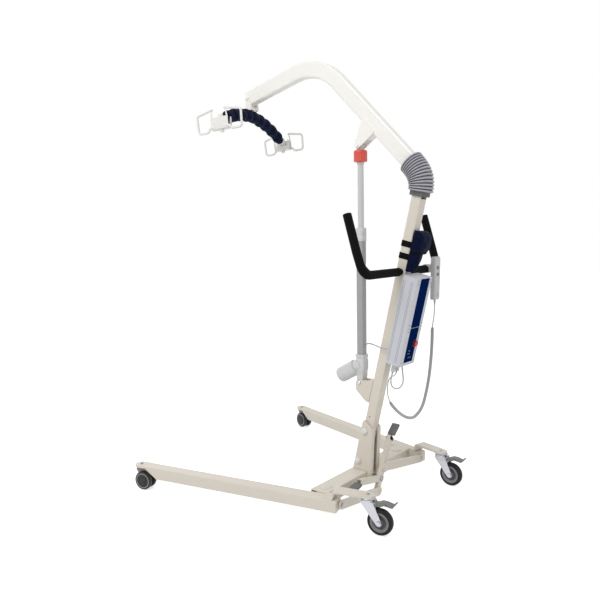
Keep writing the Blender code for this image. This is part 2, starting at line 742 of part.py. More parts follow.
def make_pad(name, angle, length, sign, frame):
    """Ribbed rubber block on a tongue that plugs the open end of a pedal arm."""
    ahead = Vector((math.sin(angle), 0, math.cos(angle)))
    base = ahead * (length - 0.006)
    lean = angle + sign * PAD_TILT
    along = Vector((math.sin(lean), 0, math.cos(lean)))
    across = Vector((along.z, 0, -along.x))
    half = PAD_WIDTH / 2
    start = ahead * (length + GAP)
    rings = []
    for reach, thick in ((0.0, 0.8), (0.006, 1.0), (PAD_LENGTH - 0.006, 1.0), (PAD_LENGTH, 0.7)):
        centre = start + across * sign * 0.004 + along * (reach + 0.005)
        side = across * PAD_THICK / 2 * thick
        rings.append([centre - side + Vector((0, -half, 0)), centre + side + Vector((0, -half, 0)),
                      centre + side + Vector((0, half, 0)), centre - side + Vector((0, half, 0))])
    pad = bevel(piece(name, loft(rings), "pad_grey", frame), 0.002)
    plug = Vector((ahead.z, 0, -ahead.x)) * (PEDAL_WIDTH / 2 - 0.003 - GAP)
    depth = PEDAL_DEPTH / 2 - 0.003 - GAP
    tip = ahead * (length + 0.010)
    ring = [[p - plug + Vector((0, -depth, 0)), p + plug + Vector((0, -depth, 0)), p + plug + Vector((0, depth, 0)),
             p - plug + Vector((0, depth, 0))] for p in (base - ahead * 0.012, tip)]
    fuse(pad, loft(ring), frame)
    return pad


def make_pedal_bolt(root):
    """Hinge bolt of the lever, in a boss on the back of the beam."""
    rear = BEAM_SHIFT_Y + BEAM_DEPTH / 2 + GAP
    front_face = PEDAL_Y - PEDAL_DEPTH / 2 - SIDE_PLAY
    back_face = PEDAL_Y + PEDAL_DEPTH / 2 + SIDE_PLAY
    profile = [(0, rear), (0.015, rear), (0.012, rear + 0.006), (0.012, front_face), (PEDAL_BOLT_R, front_face),
               (PEDAL_BOLT_R, back_face), (0.011, back_face), (0.010, back_face + 0.004), (0, back_face + 0.005)]
    return piece("pedal_bolt", turned(profile, "Y", (0, 0, PEDAL_Z)), "frame_paint", root)


def tie_layout(side):
    """Place of a tie link: the stud behind the leg's end, and the yaw and pitch of the link from there."""
    reach = LEG_REAR + TIE_EYE_BACK
    turn = side * SPLAY
    x, y = side * TIE_EYE_X, reach
    eye = Vector((side * LEG_PIVOT_X + x * math.cos(turn) - y * math.sin(turn),
                  x * math.sin(turn) + y * math.cos(turn), TIE_EYE_Z))
    bolt = crank_point(-side)
    back = PEDAL_Y + PEDAL_DEPTH / 2 + TIE_STANDOFF + TIE_PLATE / 2
    target = Vector((bolt[0], back, PEDAL_Z + bolt[1]))
    run = target - eye
    yaw = math.atan2(run.y, run.x) - (math.pi if side > 0 else 0.0) - turn
    flat = math.hypot(run.x, run.y)
    pitch = side * math.atan2(run.z, flat)
    return yaw, pitch, run.length


def make_tie_ball(side_name, side, frame):
    half = TIE_PLATE / 2 + 0.001
    rim = math.sqrt(TIE_BALL_R ** 2 - half ** 2)
    arc = []
    for k in range(5):
        angle = math.asin(half / TIE_BALL_R) * (2 * k / 4 - 1)
        arc.append((TIE_BALL_R * math.cos(angle), TIE_BALL_R * math.sin(angle)))
    bore = TIE_STUD_R + GAP
    profile = [(bore, -half)] + [(max(r, rim), h) for r, h in arc] + [(bore, half)]
    return piece(side_name + "_tie_ball", turned(profile, "Y"), "steel", frame)


def make_tie_link(side_name, side, length, frame):
    """Flat bar with round ends, an eye round the ball, and the crank's bolt at its inner end."""
    half = TIE_PLATE / 2
    radius = TIE_HEIGHT / 2
    inward = -side
    outline = hull_of_circle((0, 0), radius, circle(radius, centre=(inward * length, 0)))
    link = piece(side_name + "_tie_link", prism(outline, -half, half, "Y"), "frame_paint", frame)
    cut(link, rod(TIE_BALL_R + RUN, -half - 0.01, half + 0.01, "Y"), frame)
    bolt = [(0, half - 0.001), (0.0085, half - 0.001), (0.0085, half + 0.0035), (0.006, half + 0.005),
            (0, half + 0.0055)]
    fuse(link, turned(bolt, "Y", (inward * length, 0, 0), SMALL), frame)
    return link


# Mast, socket and brackets

def make_socket(root):
    """Folded channel welded on the beam: a front wall, two cheeks and narrow flanges behind the mast."""
    front = -MAST_DEPTH / 2
    floor = BEAM_TOP + GAP
    outer_front = front - (GAP + SOCKET_WALL) * math.cos(LEAN) - 0.0002
    rear = BEAM_SHIFT_Y + BEAM_DEPTH / 2 + GAP
    top_back = mast_y(SOCKET_BACK_TOP, MAST_DEPTH / 2 + GAP * 2) + SOCKET_WALL
    outline = [(mast_y(floor, outer_front), floor), (mast_y(SOCKET_TOP, outer_front), SOCKET_TOP),
               (mast_y(SOCKET_TOP, outer_front) + 0.012, SOCKET_TOP + 0.003), (top_back, SOCKET_BACK_TOP),
               (SOCKET_BACK_Y + 0.002, SOCKET_BACK_LOW), (rear, SOCKET_BACK_LOW), (rear, floor)]
    socket = bevel(piece("mast_socket", prism(outline, -SOCKET_HALF, SOCKET_HALF, "X"), "frame_paint", root), 0.0015)
    above, below = SOCKET_TOP + 0.08, SOCKET_BACK_LOW - 0.044
    inner = [(mast_y(below, front - GAP), below), (mast_y(above, front - GAP), above),
             (mast_y(above, front - GAP) + 2 * MAST_DEPTH, above), (top_back - SOCKET_WALL, SOCKET_BACK_TOP),
             (SOCKET_BACK_Y + 0.002 - SOCKET_WALL, SOCKET_BACK_LOW), (SOCKET_BACK_Y - SOCKET_WALL, below)]
    wide = SOCKET_HALF - SOCKET_WALL
    cut(socket, prism(inner, -wide, wide, "X"), root)
    slot = wide - SOCKET_FLANGE
    behind = [(0.03, below), (2.5 * MAST_DEPTH, below), (2.5 * MAST_DEPTH, above), (0.03, above)]
    cut(socket, prism(behind, -slot, slot, "X"), root)
    for y, z in (MAST_BOLT_UPPER, MAST_BOLT_LOWER):
        cut(socket, rod(MAST_BOLT_R + GAP, -0.05, 0.05, "X", (y, z)), root)
    return socket


def make_mast_bolt(name, place, root):
    """Through bolt with a domed knob on one side and a nut on the other."""
    face = SOCKET_HALF + GAP
    r = MAST_KNOB_R
    profile = [(0, -face - 0.008), (0.009, -face - 0.008), (0.0095, -face), (MAST_BOLT_R, -face),
               (MAST_BOLT_R, face), (r, face), (r, face + 0.004), (r * 0.86, face + 0.009), (r * 0.5, face + 0.0125),
               (0, face + 0.0135)]
    return piece(name, turned(profile, "X", (0, place[0], place[1])), "knob_white", root)


def make_mast(frame, root):
    """Leaning box tube. A doubler fills the socket at its foot, and its side walls end as the boom's ears."""
    outer = rounded_outline(MAST_WIDTH, MAST_DEPTH, 0.005)
    inner = rounded_outline(MAST_WIDTH - 2 * MAST_WALL, MAST_DEPTH - 2 * MAST_WALL, 0.002, 1)
    mast = piece("mast", prism(outer, MAST_LOW, MAST_TOP), "frame_paint", frame)
    wide = SOCKET_HALF - SOCKET_WALL - GAP
    deep = MAST_DEPTH / 2 - 0.0015
    fuse(mast, box((-wide, -deep, MAST_LOW + 0.004), (wide, deep, -MAST_LOW)), frame)
    cut(mast, prism(inner, MAST_LOW - 0.01, MAST_TOP + 0.01), frame)
    ear = MAST_WIDTH / 2 - MAST_WALL
    cut(mast, box((-ear, -0.05, MAST_TOP - MAST_EAR_LENGTH), (ear, 0.05, MAST_TOP + 0.02)), frame)
    corner = [(0.006, MAST_TOP + 0.002), (0.03, MAST_TOP + 0.002), (0.03, MAST_TOP - MAST_HEEL)]
    cut(mast, prism(corner, -0.05, 0.05, "X"), frame)
    for y, z in (MAST_BOLT_UPPER, MAST_BOLT_LOWER):
        cut(mast, rod(MAST_BOLT_R + GAP, -0.05, 0.05, "X", (y, z)), root)
    cut(mast, rod(BOOM_PIN_R + GAP, -0.05, 0.05, "X", (HINGE_Y, HINGE_Z)), root)
    cut(mast, rod(BAR_TUBE_R + RUN, -0.05, 0.05, "X", (BAR_CORNER[1], BAR_CORNER[2])), root)
    cut(mast, rod(0.003, 0.0, 0.05, "X", (-0.0026, 0.1437), SMALL), frame)
    return mast


def make_actuator_bracket(root):
    """Welded U bracket on the mast's front that holds the actuator's lower pin."""
    half = FOOT_WIDTH / 2 + SIDE_PLAY + BRACKET_PLATE
    behind = -MAST_DEPTH / 2 - GAP
    y, z = ACTUATOR_PIN_Y, ACTUATOR_PIN_Z
    low, high = z - BRACKET_DROP, z + BRACKET_RISE
    outline = [(y - 0.011, z + 0.011), (y - 0.018, z - 0.002), (y - 0.017, z - 0.031), (y + 0.031, low + 0.004),
               (mast_y(low, behind), low), (mast_y(high, behind), high)]
    bracket = bevel(piece("actuator_bracket", prism(outline, -half, half, "X"), "frame_paint", root), 0.002)
    wide = FOOT_WIDTH / 2 + SIDE_PLAY
    web = mast_y(low, behind) - BRACKET_PLATE
    cut(bracket, box((-wide, y - 0.06, low - 0.02), (wide, web, high + 0.02)), root)
    hole = rod(ACTUATOR_PIN_R + GAP, -0.05, 0.05, "X", (ACTUATOR_PIN_Y, ACTUATOR_PIN_Z))
    cut(bracket, hole, root)
    return bracket


def make_cross_pin(name, radius, head_r, half, y, z, parent, colour="zinc"):
    """A pin along X with a head on one end and a nut on the other."""
    profile = [(0, -half - 0.006), (head_r * 0.9, -half - 0.006), (head_r, -half - 0.001), (head_r, -half - GAP),
               (radius, -half - GAP), (radius, half + GAP), (head_r, half + GAP), (head_r, half + 0.003),
               (head_r * 0.6, half + 0.005), (0, half + 0.0055)]
    return piece(name, turned(profile, "X", (0, y, z), SMALL), colour, parent)


# Boom

def boom_path():
    hinge, join, bend = Vector((0, HINGE_Y, HINGE_Z)), Vector((0, *BOOM_JOIN)), Vector((0, *BOOM_BEND))
    tip = Vector((0, *BOOM_TIP))
    front = (tip - bend).normalized()
    ahead = (join - hinge).normalized()
    start = hinge - ahead * (BOOM_LUG_HEIGHT / 2)
    path = [start, hinge, hinge + ahead * 0.035, join]
    path += arc_path([join, bend, tip + front * BOOM_OVERHANG], BOOM_BEND_R, 8)[1:]
    return path


def boom_section(height, wall=0.0):
    radius = max(BOOM_CORNER - wall, 0.003)
    return rounded_outline(BOOM_WIDTH - 2 * wall, height - 2 * wall, radius, 1 if wall else 2)


def make_boom(frame):
    path = boom_path()
    heights = {0: BOOM_LUG_HEIGHT * 0.55, 1: BOOM_LUG_HEIGHT, 2: BOOM_LUG_HEIGHT * 1.1}
    side = Vector((1, 0, 0))

    def section(wall):
        return lambda k: boom_section(heights.get(k, BOOM_HEIGHT), wall)
    local = [point - Vector((0, HINGE_Y, HINGE_Z)) for point in path]
    boom = piece("boom", loft(rings_along(local, section(0.0), side)), "boom_paint", frame)
    end = (local[-1] - local[-2]).normalized()
    shorter = local[:-1] + [local[-1] - end * BOOM_WALL]
    shorter[0] = shorter[0] - (shorter[1] - shorter[0]).normalized() * 0.01
    cut(boom, loft(rings_along(shorter, section(BOOM_WALL), side)), frame)
    add_clevis(boom, frame)
    cut(boom, rod(BOOM_PIN_R + GAP, -0.05, 0.05, "X"), frame)
    tip = (BOOM_TIP[0] - HINGE_Y, BOOM_TIP[1] - HINGE_Z)
    cut(boom, rod(HANGER_PIN_R + GAP, -0.05, 0.05, "X", tip), frame)
    return boom


def add_clevis(boom, frame):
    """U bracket under the boom for the actuator's rod: two ears, a web behind them and a bolt stub in each ear."""
    y, z = CLEVIS[0] - HINGE_Y, CLEVIS[1] - HINGE_Z
    lower = (BOOM_JOIN[0] + BOOM_JOIN[1] - BOOM_HEIGHT / math.sqrt(2) + 0.020) - HINGE_Y - HINGE_Z
    root_front = (-0.012 - HINGE_Y, lower + 0.012 + HINGE_Y)
    root_back = (0.047 - HINGE_Y, lower - 0.047 + HINGE_Y)
    ear = hull_of_circle((y, z), CLEVIS_EAR_R, [root_front, root_back])
    inner = BOOM_WIDTH / 2 - 0.0005
    outer = inner + CLEVIS_PLATE
    for side in (1, -1):
        ends = sorted((side * inner, side * outer))
        fuse(boom, prism(ear, ends[0], ends[1], "X"), frame)
        nut = sorted((side * (outer - 0.001), side * (outer + 0.006)))
        fuse(boom, rod(0.0085, nut[0], nut[1], "X", (y, z), 6), frame)
    back = Vector(root_back)
    towards = (Vector((y, z)) - back).normalized()
    normal = Vector((-towards.y, towards.x))
    if normal.dot(Vector((1, -1))) < 0:
        normal = -normal
    edge = Vector((y, z)) + normal * CLEVIS_EAR_R
    run = (edge - back)
    web = [back - run * 0.0, back + run * 0.50, back + run * 0.50 - normal * 0.004, back - normal * 0.004]
    fuse(boom, prism([tuple(p) for p in web], -inner - 0.001, inner + 0.001, "X"), frame)


# Bellows

def bellows_path(count):
    low = Vector((0, mast_y(BELLOWS_LOW + CUFF_HEIGHT), BELLOWS_LOW + CUFF_HEIGHT))
    high = Vector((0, *BOOM_JOIN))
    up = Vector((0, math.sin(LEAN), math.cos(LEAN)))
    out = Vector((0, -1, 1)).normalized()
    points = []
    for k in range(count + 1):
        t = k / count
        a, b, c, d = low, low + up * BELLOWS_REACH, high - out * BELLOWS_REACH, high
        points.append(a * (1 - t) ** 3 + b * 3 * t * (1 - t) ** 2 + c * 3 * t * t * (1 - t) + d * t ** 3)
    return points


def make_bellows(root):
    """Ribbed sleeve from the mast to the boom, round a plain bore, with a square cuff on the mast."""
    count = BELLOWS_RIBS * 2
    path = bellows_path(count)
    side = Vector((1, 0, 0))
    radii = [BELLOWS_R - (BELLOWS_GROOVE if k % 2 == 0 else 0.0) for k in range(count + 1)]
    bellows = piece("bellows", loft(rings_along(path, lambda k: circle(radii[k], ROUND), side)), "bellows_grey", root)
    up = Vector((0, math.sin(LEAN), math.cos(LEAN)))
    low = path[0] - up * CUFF_HEIGHT
    wide, deep = MAST_WIDTH + 2 * (GAP + CUFF_WALL), MAST_DEPTH + 2 * (GAP + CUFF_WALL)
    cuff = rounded_outline(wide, deep, 0.009)
    fuse(bellows, loft(rings_along([low, path[0] + up * 0.004], cuff, side)), root)
    step = (path[1] - path[0]).normalized()
    bore = [path[0] + step * 0.004] + path[3:-2:3] + [path[-1] + Vector((0, -1, 1)).normalized() * 0.01]
    cut(bellows, loft(rings_along(bore, circle(BELLOWS_BORE_R), side)), root)
    inside = rounded_outline(MAST_WIDTH + 2 * GAP, MAST_DEPTH + 2 * GAP, 0.005)
    cut(bellows, loft(rings_along([low - up * 0.01, path[0] + up * 0.012], inside, side)), root)
    return bellows


# Actuator

def actuator_tilt():
    """Lean of the actuator's axis from the vertical, about X."""
    return math.atan2(ACTUATOR_PIN_Y - CLEVIS[0], CLEVIS[1] - ACTUATOR_PIN_Z)


def clevis_height():
    return math.hypot(CLEVIS[0] - ACTUATOR_PIN_Y, CLEVIS[1] - ACTUATOR_PIN_Z)


def make_gear_housing(frame):
    half = FOOT_WIDTH / 2
    foot = hull_of_circle((0, 0), 0.013, [(-0.018, GEAR_LOW + 0.002), (0.018, GEAR_LOW + 0.002)], 8)
    gear = piece("gear_housing", prism(foot, -half, half, "X"), "housing_grey", frame)
    r = GEAR_R
    profile = [(0, GEAR_LOW), (r - 0.004, GEAR_LOW), (r, GEAR_LOW + 0.005), (r, GEAR_TOP - 0.016),
               (r + 0.003, GEAR_TOP - 0.014), (r + 0.003, GEAR_TOP - 0.008), (r - 0.003, GEAR_TOP - 0.004),
               (r - 0.008, GEAR_TOP), (0, GEAR_TOP)]
    fuse(gear, turned(profile, steps=FINE), frame)
    cut(gear, rod(ACTUATOR_PIN_R + GAP, -0.05, 0.05, "X"), frame)
    return gear


def make_motor(frame):
    """Motor can that points forward and down from the gear housing, with a stouter end cap."""
    r = MOTOR_R
    length = MOTOR_LENGTH
    profile = [(0, 0.004), (MOTOR_NECK_R, 0.004), (MOTOR_NECK_R, MOTOR_NECK), (r - 0.002, MOTOR_NECK + 0.002),
               (r - 0.002, length - 0.040), (r, length - 0.038), (r, length - 0.006), (r - 0.005, length),
               (0, length)]
    bm = turned(profile, steps=FINE)
    ahead = Vector((0, -math.cos(MOTOR_DROP), -math.sin(MOTOR_DROP)))
    turn = Vector((0, 0, 1)).rotation_difference(ahead).to_matrix().to_4x4()
    bmesh.ops.transform(bm, matrix=Matrix.Translation((0, 0, MOTOR_START)) @ turn, verts=bm.verts)
    motor = piece("motor", bm, "housing_grey", frame)
    cut(motor, rod(GEAR_R + GAP, 0.0, 0.2, steps=FINE), frame)
    return motor


def make_outer_tube(frame):
    """Square outer tube with a round bore and a stouter head for the rod's wiper."""
    heads = [(GEAR_TOP + GAP, TUBE_SIDE), (TUBE_TOP, TUBE_SIDE), (TUBE_TOP + 0.001, TUBE_HEAD_SIDE),
             (TUBE_HEAD_TOP - 0.004, TUBE_HEAD_SIDE), (TUBE_HEAD_TOP, TUBE_HEAD_SIDE - 0.004)]
    rings = [[Vector((u, v, z)) for u, v in rounded_outline(size, size, 0.004)] for z, size in heads]
    tube = piece("outer_tube", loft(rings), "housing_grey", frame)
    cut(tube, rod(TUBE_BORE / 2, GEAR_TOP - 0.01, TUBE_HEAD_TOP + 0.01), frame)
    return tube


def make_rod(frame):
    """Piston rod with its flat eye between the clevis ears."""
    top = clevis_height()
    ledge = COLLAR_LOW - 0.010
    profile = [(0, ROD_LOW), (ROD_R, ROD_LOW), (ROD_R, ledge), (ROD_R + 0.002, ledge + 0.001),
               (ROD_R + 0.002, COLLAR_LOW - GAP * 2), (ROD_R - 0.002, COLLAR_LOW - GAP * 2),
               (ROD_R - 0.002, COLLAR_LOW + COLLAR_HEIGHT + GAP), (0, COLLAR_LOW + COLLAR_HEIGHT + GAP)]
    rod_piece = piece("actuator_rod", turned(profile), "rod_grey", frame)
    eye = hull_of_circle((0, top), ROD_EYE_R, [(-0.010, COLLAR_LOW + COLLAR_HEIGHT + GAP * 2),
                                              (0.010, COLLAR_LOW + COLLAR_HEIGHT + GAP * 2)])
    half = ROD_EYE_WIDTH / 2
    fuse(rod_piece, prism(eye, -half, half, "X"), frame)
    neck = rod(ROD_R - 0.003, COLLAR_LOW + COLLAR_HEIGHT - 0.003, COLLAR_LOW + COLLAR_HEIGHT + 0.004)
    fuse(rod_piece, neck, frame)
    cut(rod_piece, rod(CLEVIS_PIN_R + GAP, -0.03, 0.03, "X", (0, top)), frame)
    return rod_piece


def make_release_collar(frame):
    """Red collar with shallow grip flutes, turned by hand to let the boom down."""
    steps = FINE
    rings = []
    for z, share in ((0.0, 0.97), (0.002, 1.0), (COLLAR_HEIGHT - 0.003, 0.95), (COLLAR_HEIGHT, 0.92)):
        ring = []
        for k in range(steps):
            flute = 0.0007 if k % 4 == 0 else 0.0
            angle = 2 * math.pi * k / steps
            radius = COLLAR_R * share - flute
            ring.append(Vector((radius * math.cos(angle), radius * math.sin(angle), COLLAR_LOW + z)))
        rings.append(ring)
    collar = piece("release_collar", loft(rings), "release_red", frame)
    cut(collar, rod(ROD_R - 0.002 + RUN, COLLAR_LOW - 0.01, COLLAR_LOW + COLLAR_HEIGHT + 0.01), frame)
    return collar


# Hanger and cradle

def make_hanger(frame):
    """Two plates over the boom's tip, a foot plate below and the pin through both."""
    inner = BOOM_WIDTH / 2 + SIDE_PLAY
    outer = inner + HANGER_PLATE
    half = HANGER_WIDTH / 2
    plate = hull_of_circle((0, 0), half * 0.85, [(-half, -HANGER_DROP), (half, -HANGER_DROP)])
    hanger = piece("hanger", prism(plate, inner, outer, "X"), "boom_paint", frame)
    fuse(hanger, prism(plate, -outer, -inner, "X"), frame)
    fuse(hanger, box((-inner - 0.001, -half, -HANGER_DROP), (inner + 0.001, half, -HANGER_DROP + 0.006)), frame)
    pin = [(0, -outer - 0.008), (0.009, -outer - 0.008), (0.0095, -outer + 0.0005), (HANGER_PIN_R, -outer + 0.0005),
           (HANGER_PIN_R, outer - 0.0005), (0.0095, outer - 0.0005), (0.0095, outer + 0.006), (0.005, outer + 0.0085),
           (0, outer + 0.009)]
    fuse(hanger, turned(pin, "X"), frame)
    cut(hanger, rod(0.006 + GAP, -HANGER_DROP - 0.01, -HANGER_DROP + 0.02), frame)
    return hanger


def bar_height(x):
    """Height of the cradle bar's centre line: a gull curve that droops towards both ends."""
    share = min(abs(x) / BAR_HALF, 1.2)
    return -BAR_DROP - BAR_END_DROOP * share ** 1.9


def bar_points(half, count):
    return [Vector((half * (2 * k / count - 1), 0, bar_height(half * (2 * k / count - 1)))) for k in range(count + 1)]


def make_spreader_bar(frame):
    """Gull shaped bar: a boss and a stud in the middle, a sleeve for a hook bolt at each end."""
    path = bar_points(BAR_HALF, BAR_RINGS)
    side = Vector((0, 1, 0))
    bar = piece("spreader_bar", loft(rings_along(path, circle(BAR_R, SMALL), side)), "hook_white", frame)
    boss_top = -HANGER_DROP - GAP
    fuse(bar, rod(0.016, -BAR_DROP, boss_top), frame)
    stud = [(0, boss_top - 0.002), (0.006, boss_top - 0.002), (0.006, -HANGER_DROP + 0.006 + GAP),
            (0.011, -HANGER_DROP + 0.006 + GAP), (0.011, -HANGER_DROP + 0.013), (0, -HANGER_DROP + 0.014)]
    fuse(bar, turned(stud), frame)
    ends = [(x, 0) for x in (BAR_HALF, -BAR_HALF)]
    floor = HOOK_RIM - HOOK_PLATE_HEIGHT + HOOK_WALL + GAP
    for place in ends:
        fuse(bar, rod(HOOK_SLEEVE_R, floor, HOOK_RIM + HOOK_SLEEVE_RISE, centre=place), frame)
    for place in ends:
        cut(bar, rod(HOOK_BOLT_R + GAP, floor - 0.01, HOOK_RIM + 0.03, centre=place), frame)
    return bar


def make_bar_cover(frame):
    """Quilted sleeve round the bar: a bore, a crowned outside and sewn channels across it."""
    count = COVER_CHANNELS * 3
    path = bar_points(BAR_HALF - COVER_INSET, count)
    side = Vector((0, 1, 0))

    def section(k):
        wave = abs(math.sin(math.pi * k / 3))
        close = min(k, count - k)
        taper = (0.78, 0.93, 0.99)[close] if close < 3 else 1.0
        return [(u * (COVER_HALF_WIDTH + 0.002 * wave) * taper, v * (COVER_HALF_HEIGHT + 0.002 * wave) * taper)
                for u, v in circle(1.0, SMALL)]
    cover = piece("bar_cover", loft(rings_along(path, section, side)), "navy_fabric", frame)
    bore = bar_points(BAR_HALF, BAR_RINGS)
    cut(cover, loft(rings_along(bore, circle(BAR_R + RUN, SMALL), side)), frame)
    cut(cover, rod(0.016 + 0.0015, -BAR_DROP - 0.004, -HANGER_DROP + 0.02), frame)
    return cover


def loop_wire(sign, x):
    """Route of one sling hook: out of the channel's end, round, and back over the wall to its free end."""
    near = HOOK_PLATE_LENGTH / 2
    far = HOOK_SPAN / 2 - HOOK_WIRE_R
    low = -HOOK_PLATE_HEIGHT - 0.006
    high = low + HOOK_LOOP_HEIGHT - 2 * HOOK_WIRE_R
    route = [(near - 0.014, -0.040), (near + 0.004, -0.040), (near + 0.018, low), (far * 0.97, low),
             (far, high - HOOK_LOOP_FALL), (near - 0.014, high)]
    return [Vector((x, sign * y, z)) for y, z in route]


def make_hook_set(name, outward, frame):
    """Swivelling hook set: a channel round the bar's end sleeve, its bolt, and at each end a wire hook
    that a gate closes to a loop.
    The wall towards the bar is notched, so that the set swings without touching the bar."""
    half = HOOK_CHANNEL / 2
    low = -HOOK_PLATE_HEIGHT
    length = HOOK_PLATE_LENGTH / 2
    w = HOOK_WALL
    outline = [(-half, low), (half, low), (half, 0), (-half, 0)]
    hook = bevel(piece(name, prism(outline, -length, length, "Y"), "hook_white", frame), 0.0014)
    cut(hook, box((-half + w, -length - 0.01, low + w), (half - w, length + 0.01, 0.01)), frame)
    ends = sorted((-outward * (half + 0.01), -outward * (half - w - 0.002)))
    notch = box((ends[0], -HOOK_NOTCH, -HOOK_NOTCH_DEPTH), (ends[1], HOOK_NOTCH, 0.01))
    cut(hook, notch, frame)
    head = HOOK_SLEEVE_RISE + GAP
    bolt = [(0, low - 0.010), (0.008, low - 0.010), (0.009, low - 0.0005), (0.009, low + 0.001),
            (HOOK_BOLT_R, low + 0.001), (HOOK_BOLT_R, head), (0.010, head), (0.010, head + 0.005),
            (0, head + 0.006)]
    fuse(hook, turned(bolt, steps=SMALL), frame)
    x = outward * (half - w / 2)
    for sign in (1, -1):
        route = arc_path(loop_wire(sign, x), 0.011, 2)
        fuse(hook, loft(rings_along(route, circle(HOOK_WIRE_R, 6), Vector((1, 0, 0)))), frame)
        free = route[-1]
        foot = sign * HOOK_PLATE_LENGTH / 2
        gate = [(free.y + sign * 0.003, free.z), (free.y + sign * 0.009, free.z - 0.001),
                (foot + sign * 0.001, -0.010), (foot - sign * 0.005, -0.010)]
        fuse(hook, prism(gate, x - 0.0012, x + 0.0012, "X"), frame)
    return hook


# Handlebar

def handlebar_path(inset=0.0):
    left = [Vector(BAR_END), Vector(BAR_MID), Vector(BAR_CORNER)]
    left[0] = left[0] + (left[1] - left[0]).normalized() * inset
    right = [Vector((-point.x, point.y, point.z)) for point in reversed(left)]
    return left, right


def make_handlebar(root):
    left, right = handlebar_path(0.004)
    path = arc_path(left + right, BAR_BEND_R, 3)
    side = Vector((0, 1, 0.2))
    bar = piece("handlebar", loft(rings_along(path, circle(BAR_TUBE_R, SMALL), side)), "foam_black", root)
    return bar


def make_grip(name, sign, root):
    """Foam sleeve over one half of the handlebar, closed over the tube's end."""
    left, _ = handlebar_path()
    points = [Vector((sign * p.x, p.y, p.z)) for p in left]
    points.append(Vector((sign * GRIP_INNER_X, points[-1].y, points[-1].z)))
    path = arc_path(points, BAR_BEND_R, 3)
    path = [path[0], path[0] + (path[1] - path[0]).normalized() * 0.003] + path[1:]
    side = Vector((0, 1, 0.2))
    radii = {0: GRIP_R - 0.003}
    grip = piece(name, loft(rings_along(path, lambda k: circle(radii.get(k, GRIP_R), ROUND), side)), "foam_black", root)
    inner_path = arc_path([points[0] + (points[1] - points[0]).normalized() * 0.0037] + points[1:-1]
                          + [points[-1] - Vector((sign * 0.01, 0, 0))], BAR_BEND_R, 3)
    cut(grip, loft(rings_along(inner_path, circle(BAR_TUBE_R + GAP * 2, SMALL), side)), root)
    return grip


# Control box

def make_box_housing(frame):
    """Back and sides of the control box, with the blocks that hold it off the mast and the plugs below."""
    depth = BOX_FRONT - COVER_THICK - BOX_BACK
    centre = (0, BOX_BACK + depth / 2)
    front = BOX_FRONT - COVER_THICK
    half = BOX_WIDTH / 2
    back = [(u, v) for u, v in rounded_outline(BOX_WIDTH, depth, BOX_CORNER, 2, centre) if v < centre[1]]
    outline = [(half, front), (-half, front)] + back
    housing = piece("box_housing", prism(outline, BOX_LOW, BOX_TOP), "box_grey", frame)
    w = BOX_WALL
    cut(housing, box((-half + w, BOX_BACK + w, BOX_LOW + w), (half - w, front + 0.01, BOX_TOP - w)), frame)
    for z in (BOX_LOW + BOX_BLOCK_LOW, BOX_TOP - BOX_BLOCK_TOP - BOX_BLOCK):
        block = box((-BOX_BLOCK_HALF, MAST_DEPTH / 2 + GAP, z), (BOX_BLOCK_HALF, BOX_BACK + 0.001, z + BOX_BLOCK))
        fuse(housing, block, frame)
    for x in (-PLUG_X, PLUG_X):
        plug = rod(0.009, BOX_LOW - PLUG_LENGTH, BOX_LOW + 0.001, centre=(x, PLUG_Y), steps=SMALL)
        fuse(housing, plug, frame)
    return housing


def make_front_cover(frame):
    """Front of the box with a raised strip down the middle and the seam of the lower panel."""
    half = BOX_WIDTH / 2
    back = BOX_FRONT - COVER_THICK + GAP
    rim = 0.006
    outline = [(half, back), (half, BOX_FRONT - rim), (half - rim * 0.4, BOX_FRONT - rim * 0.3),
               (half - rim, BOX_FRONT), (-half + rim, BOX_FRONT), (-half + rim * 0.4, BOX_FRONT - rim * 0.3),
               (-half, BOX_FRONT - rim), (-half, back)]
    cover = piece("front_cover", prism(outline, BOX_LOW, BOX_TOP), "box_grey", frame)
    w = BOX_WALL
    cut(cover, box((-half + w, back - 0.01, BOX_LOW + w), (half - w, BOX_FRONT - w, BOX_TOP - w)), frame)
    groove = box((-half - 0.01, BOX_FRONT - 0.0008, BOX_SEAM - 0.0008), (half + 0.01, BOX_FRONT + 0.01, BOX_SEAM + 0.0008))
    cut(cover, groove, frame)
    cut(cover, rod(0.0065, BOX_FRONT - 0.02, BOX_FRONT + 0.01, "Y", (STOP_X, STOP_Z), SMALL), frame)
    return cover


def make_battery(frame):
    half = BOX_WIDTH / 2 - BOX_WALL - 0.004
    low = BOX_SEAM + 0.004
    front = BOX_FRONT - BOX_WALL - 0.002
    bm = box((-half, BOX_BACK + BOX_WALL + GAP, low), (half, front, BOX_TOP - BOX_WALL - 0.003))
    return bevel(piece("battery_pack", bm, "battery_black", frame), 0.002)


def make_board(frame):
    """Controller board on standoffs from the back of the box, with a relay on it."""
    half = BOX_WIDTH / 2 - BOX_WALL - 0.004
    back = BOX_BACK + BOX_WALL + GAP
    bm = box((-half, back + 0.006, BOX_LOW + 0.010), (half, back + 0.008, BOX_SEAM - 0.008))
    board = piece("control_board", bm, "board_green", frame)
    for x in (-half + 0.006, half - 0.006):
        for z in (BOX_LOW + 0.018, BOX_SEAM - 0.016):
            fuse(board, rod(0.003, back, back + 0.007, "Y", (x, z), 8), frame)
    fuse(board, box((0.010, back + 0.0075, BOX_LOW + 0.060), (0.035, back + 0.026, BOX_LOW + 0.090)), frame)
    return board


def make_stop_button(frame):
    """Emergency stop: a mushroom head on a shaft that runs in the cover. Its frame is on the head's back."""
    r = STOP_R
    profile = [(0, -0.012), (0.006, -0.012), (0.006, 0.0), (r - 0.002, 0.0), (r, 0.002), (r, 0.006), (r - 0.002, 0.009),
               (r - 0.006, 0.0105), (0, 0.011)]
    return piece("stop_button", turned(profile, "Y"), "release_red", frame)


# Handset and its cord

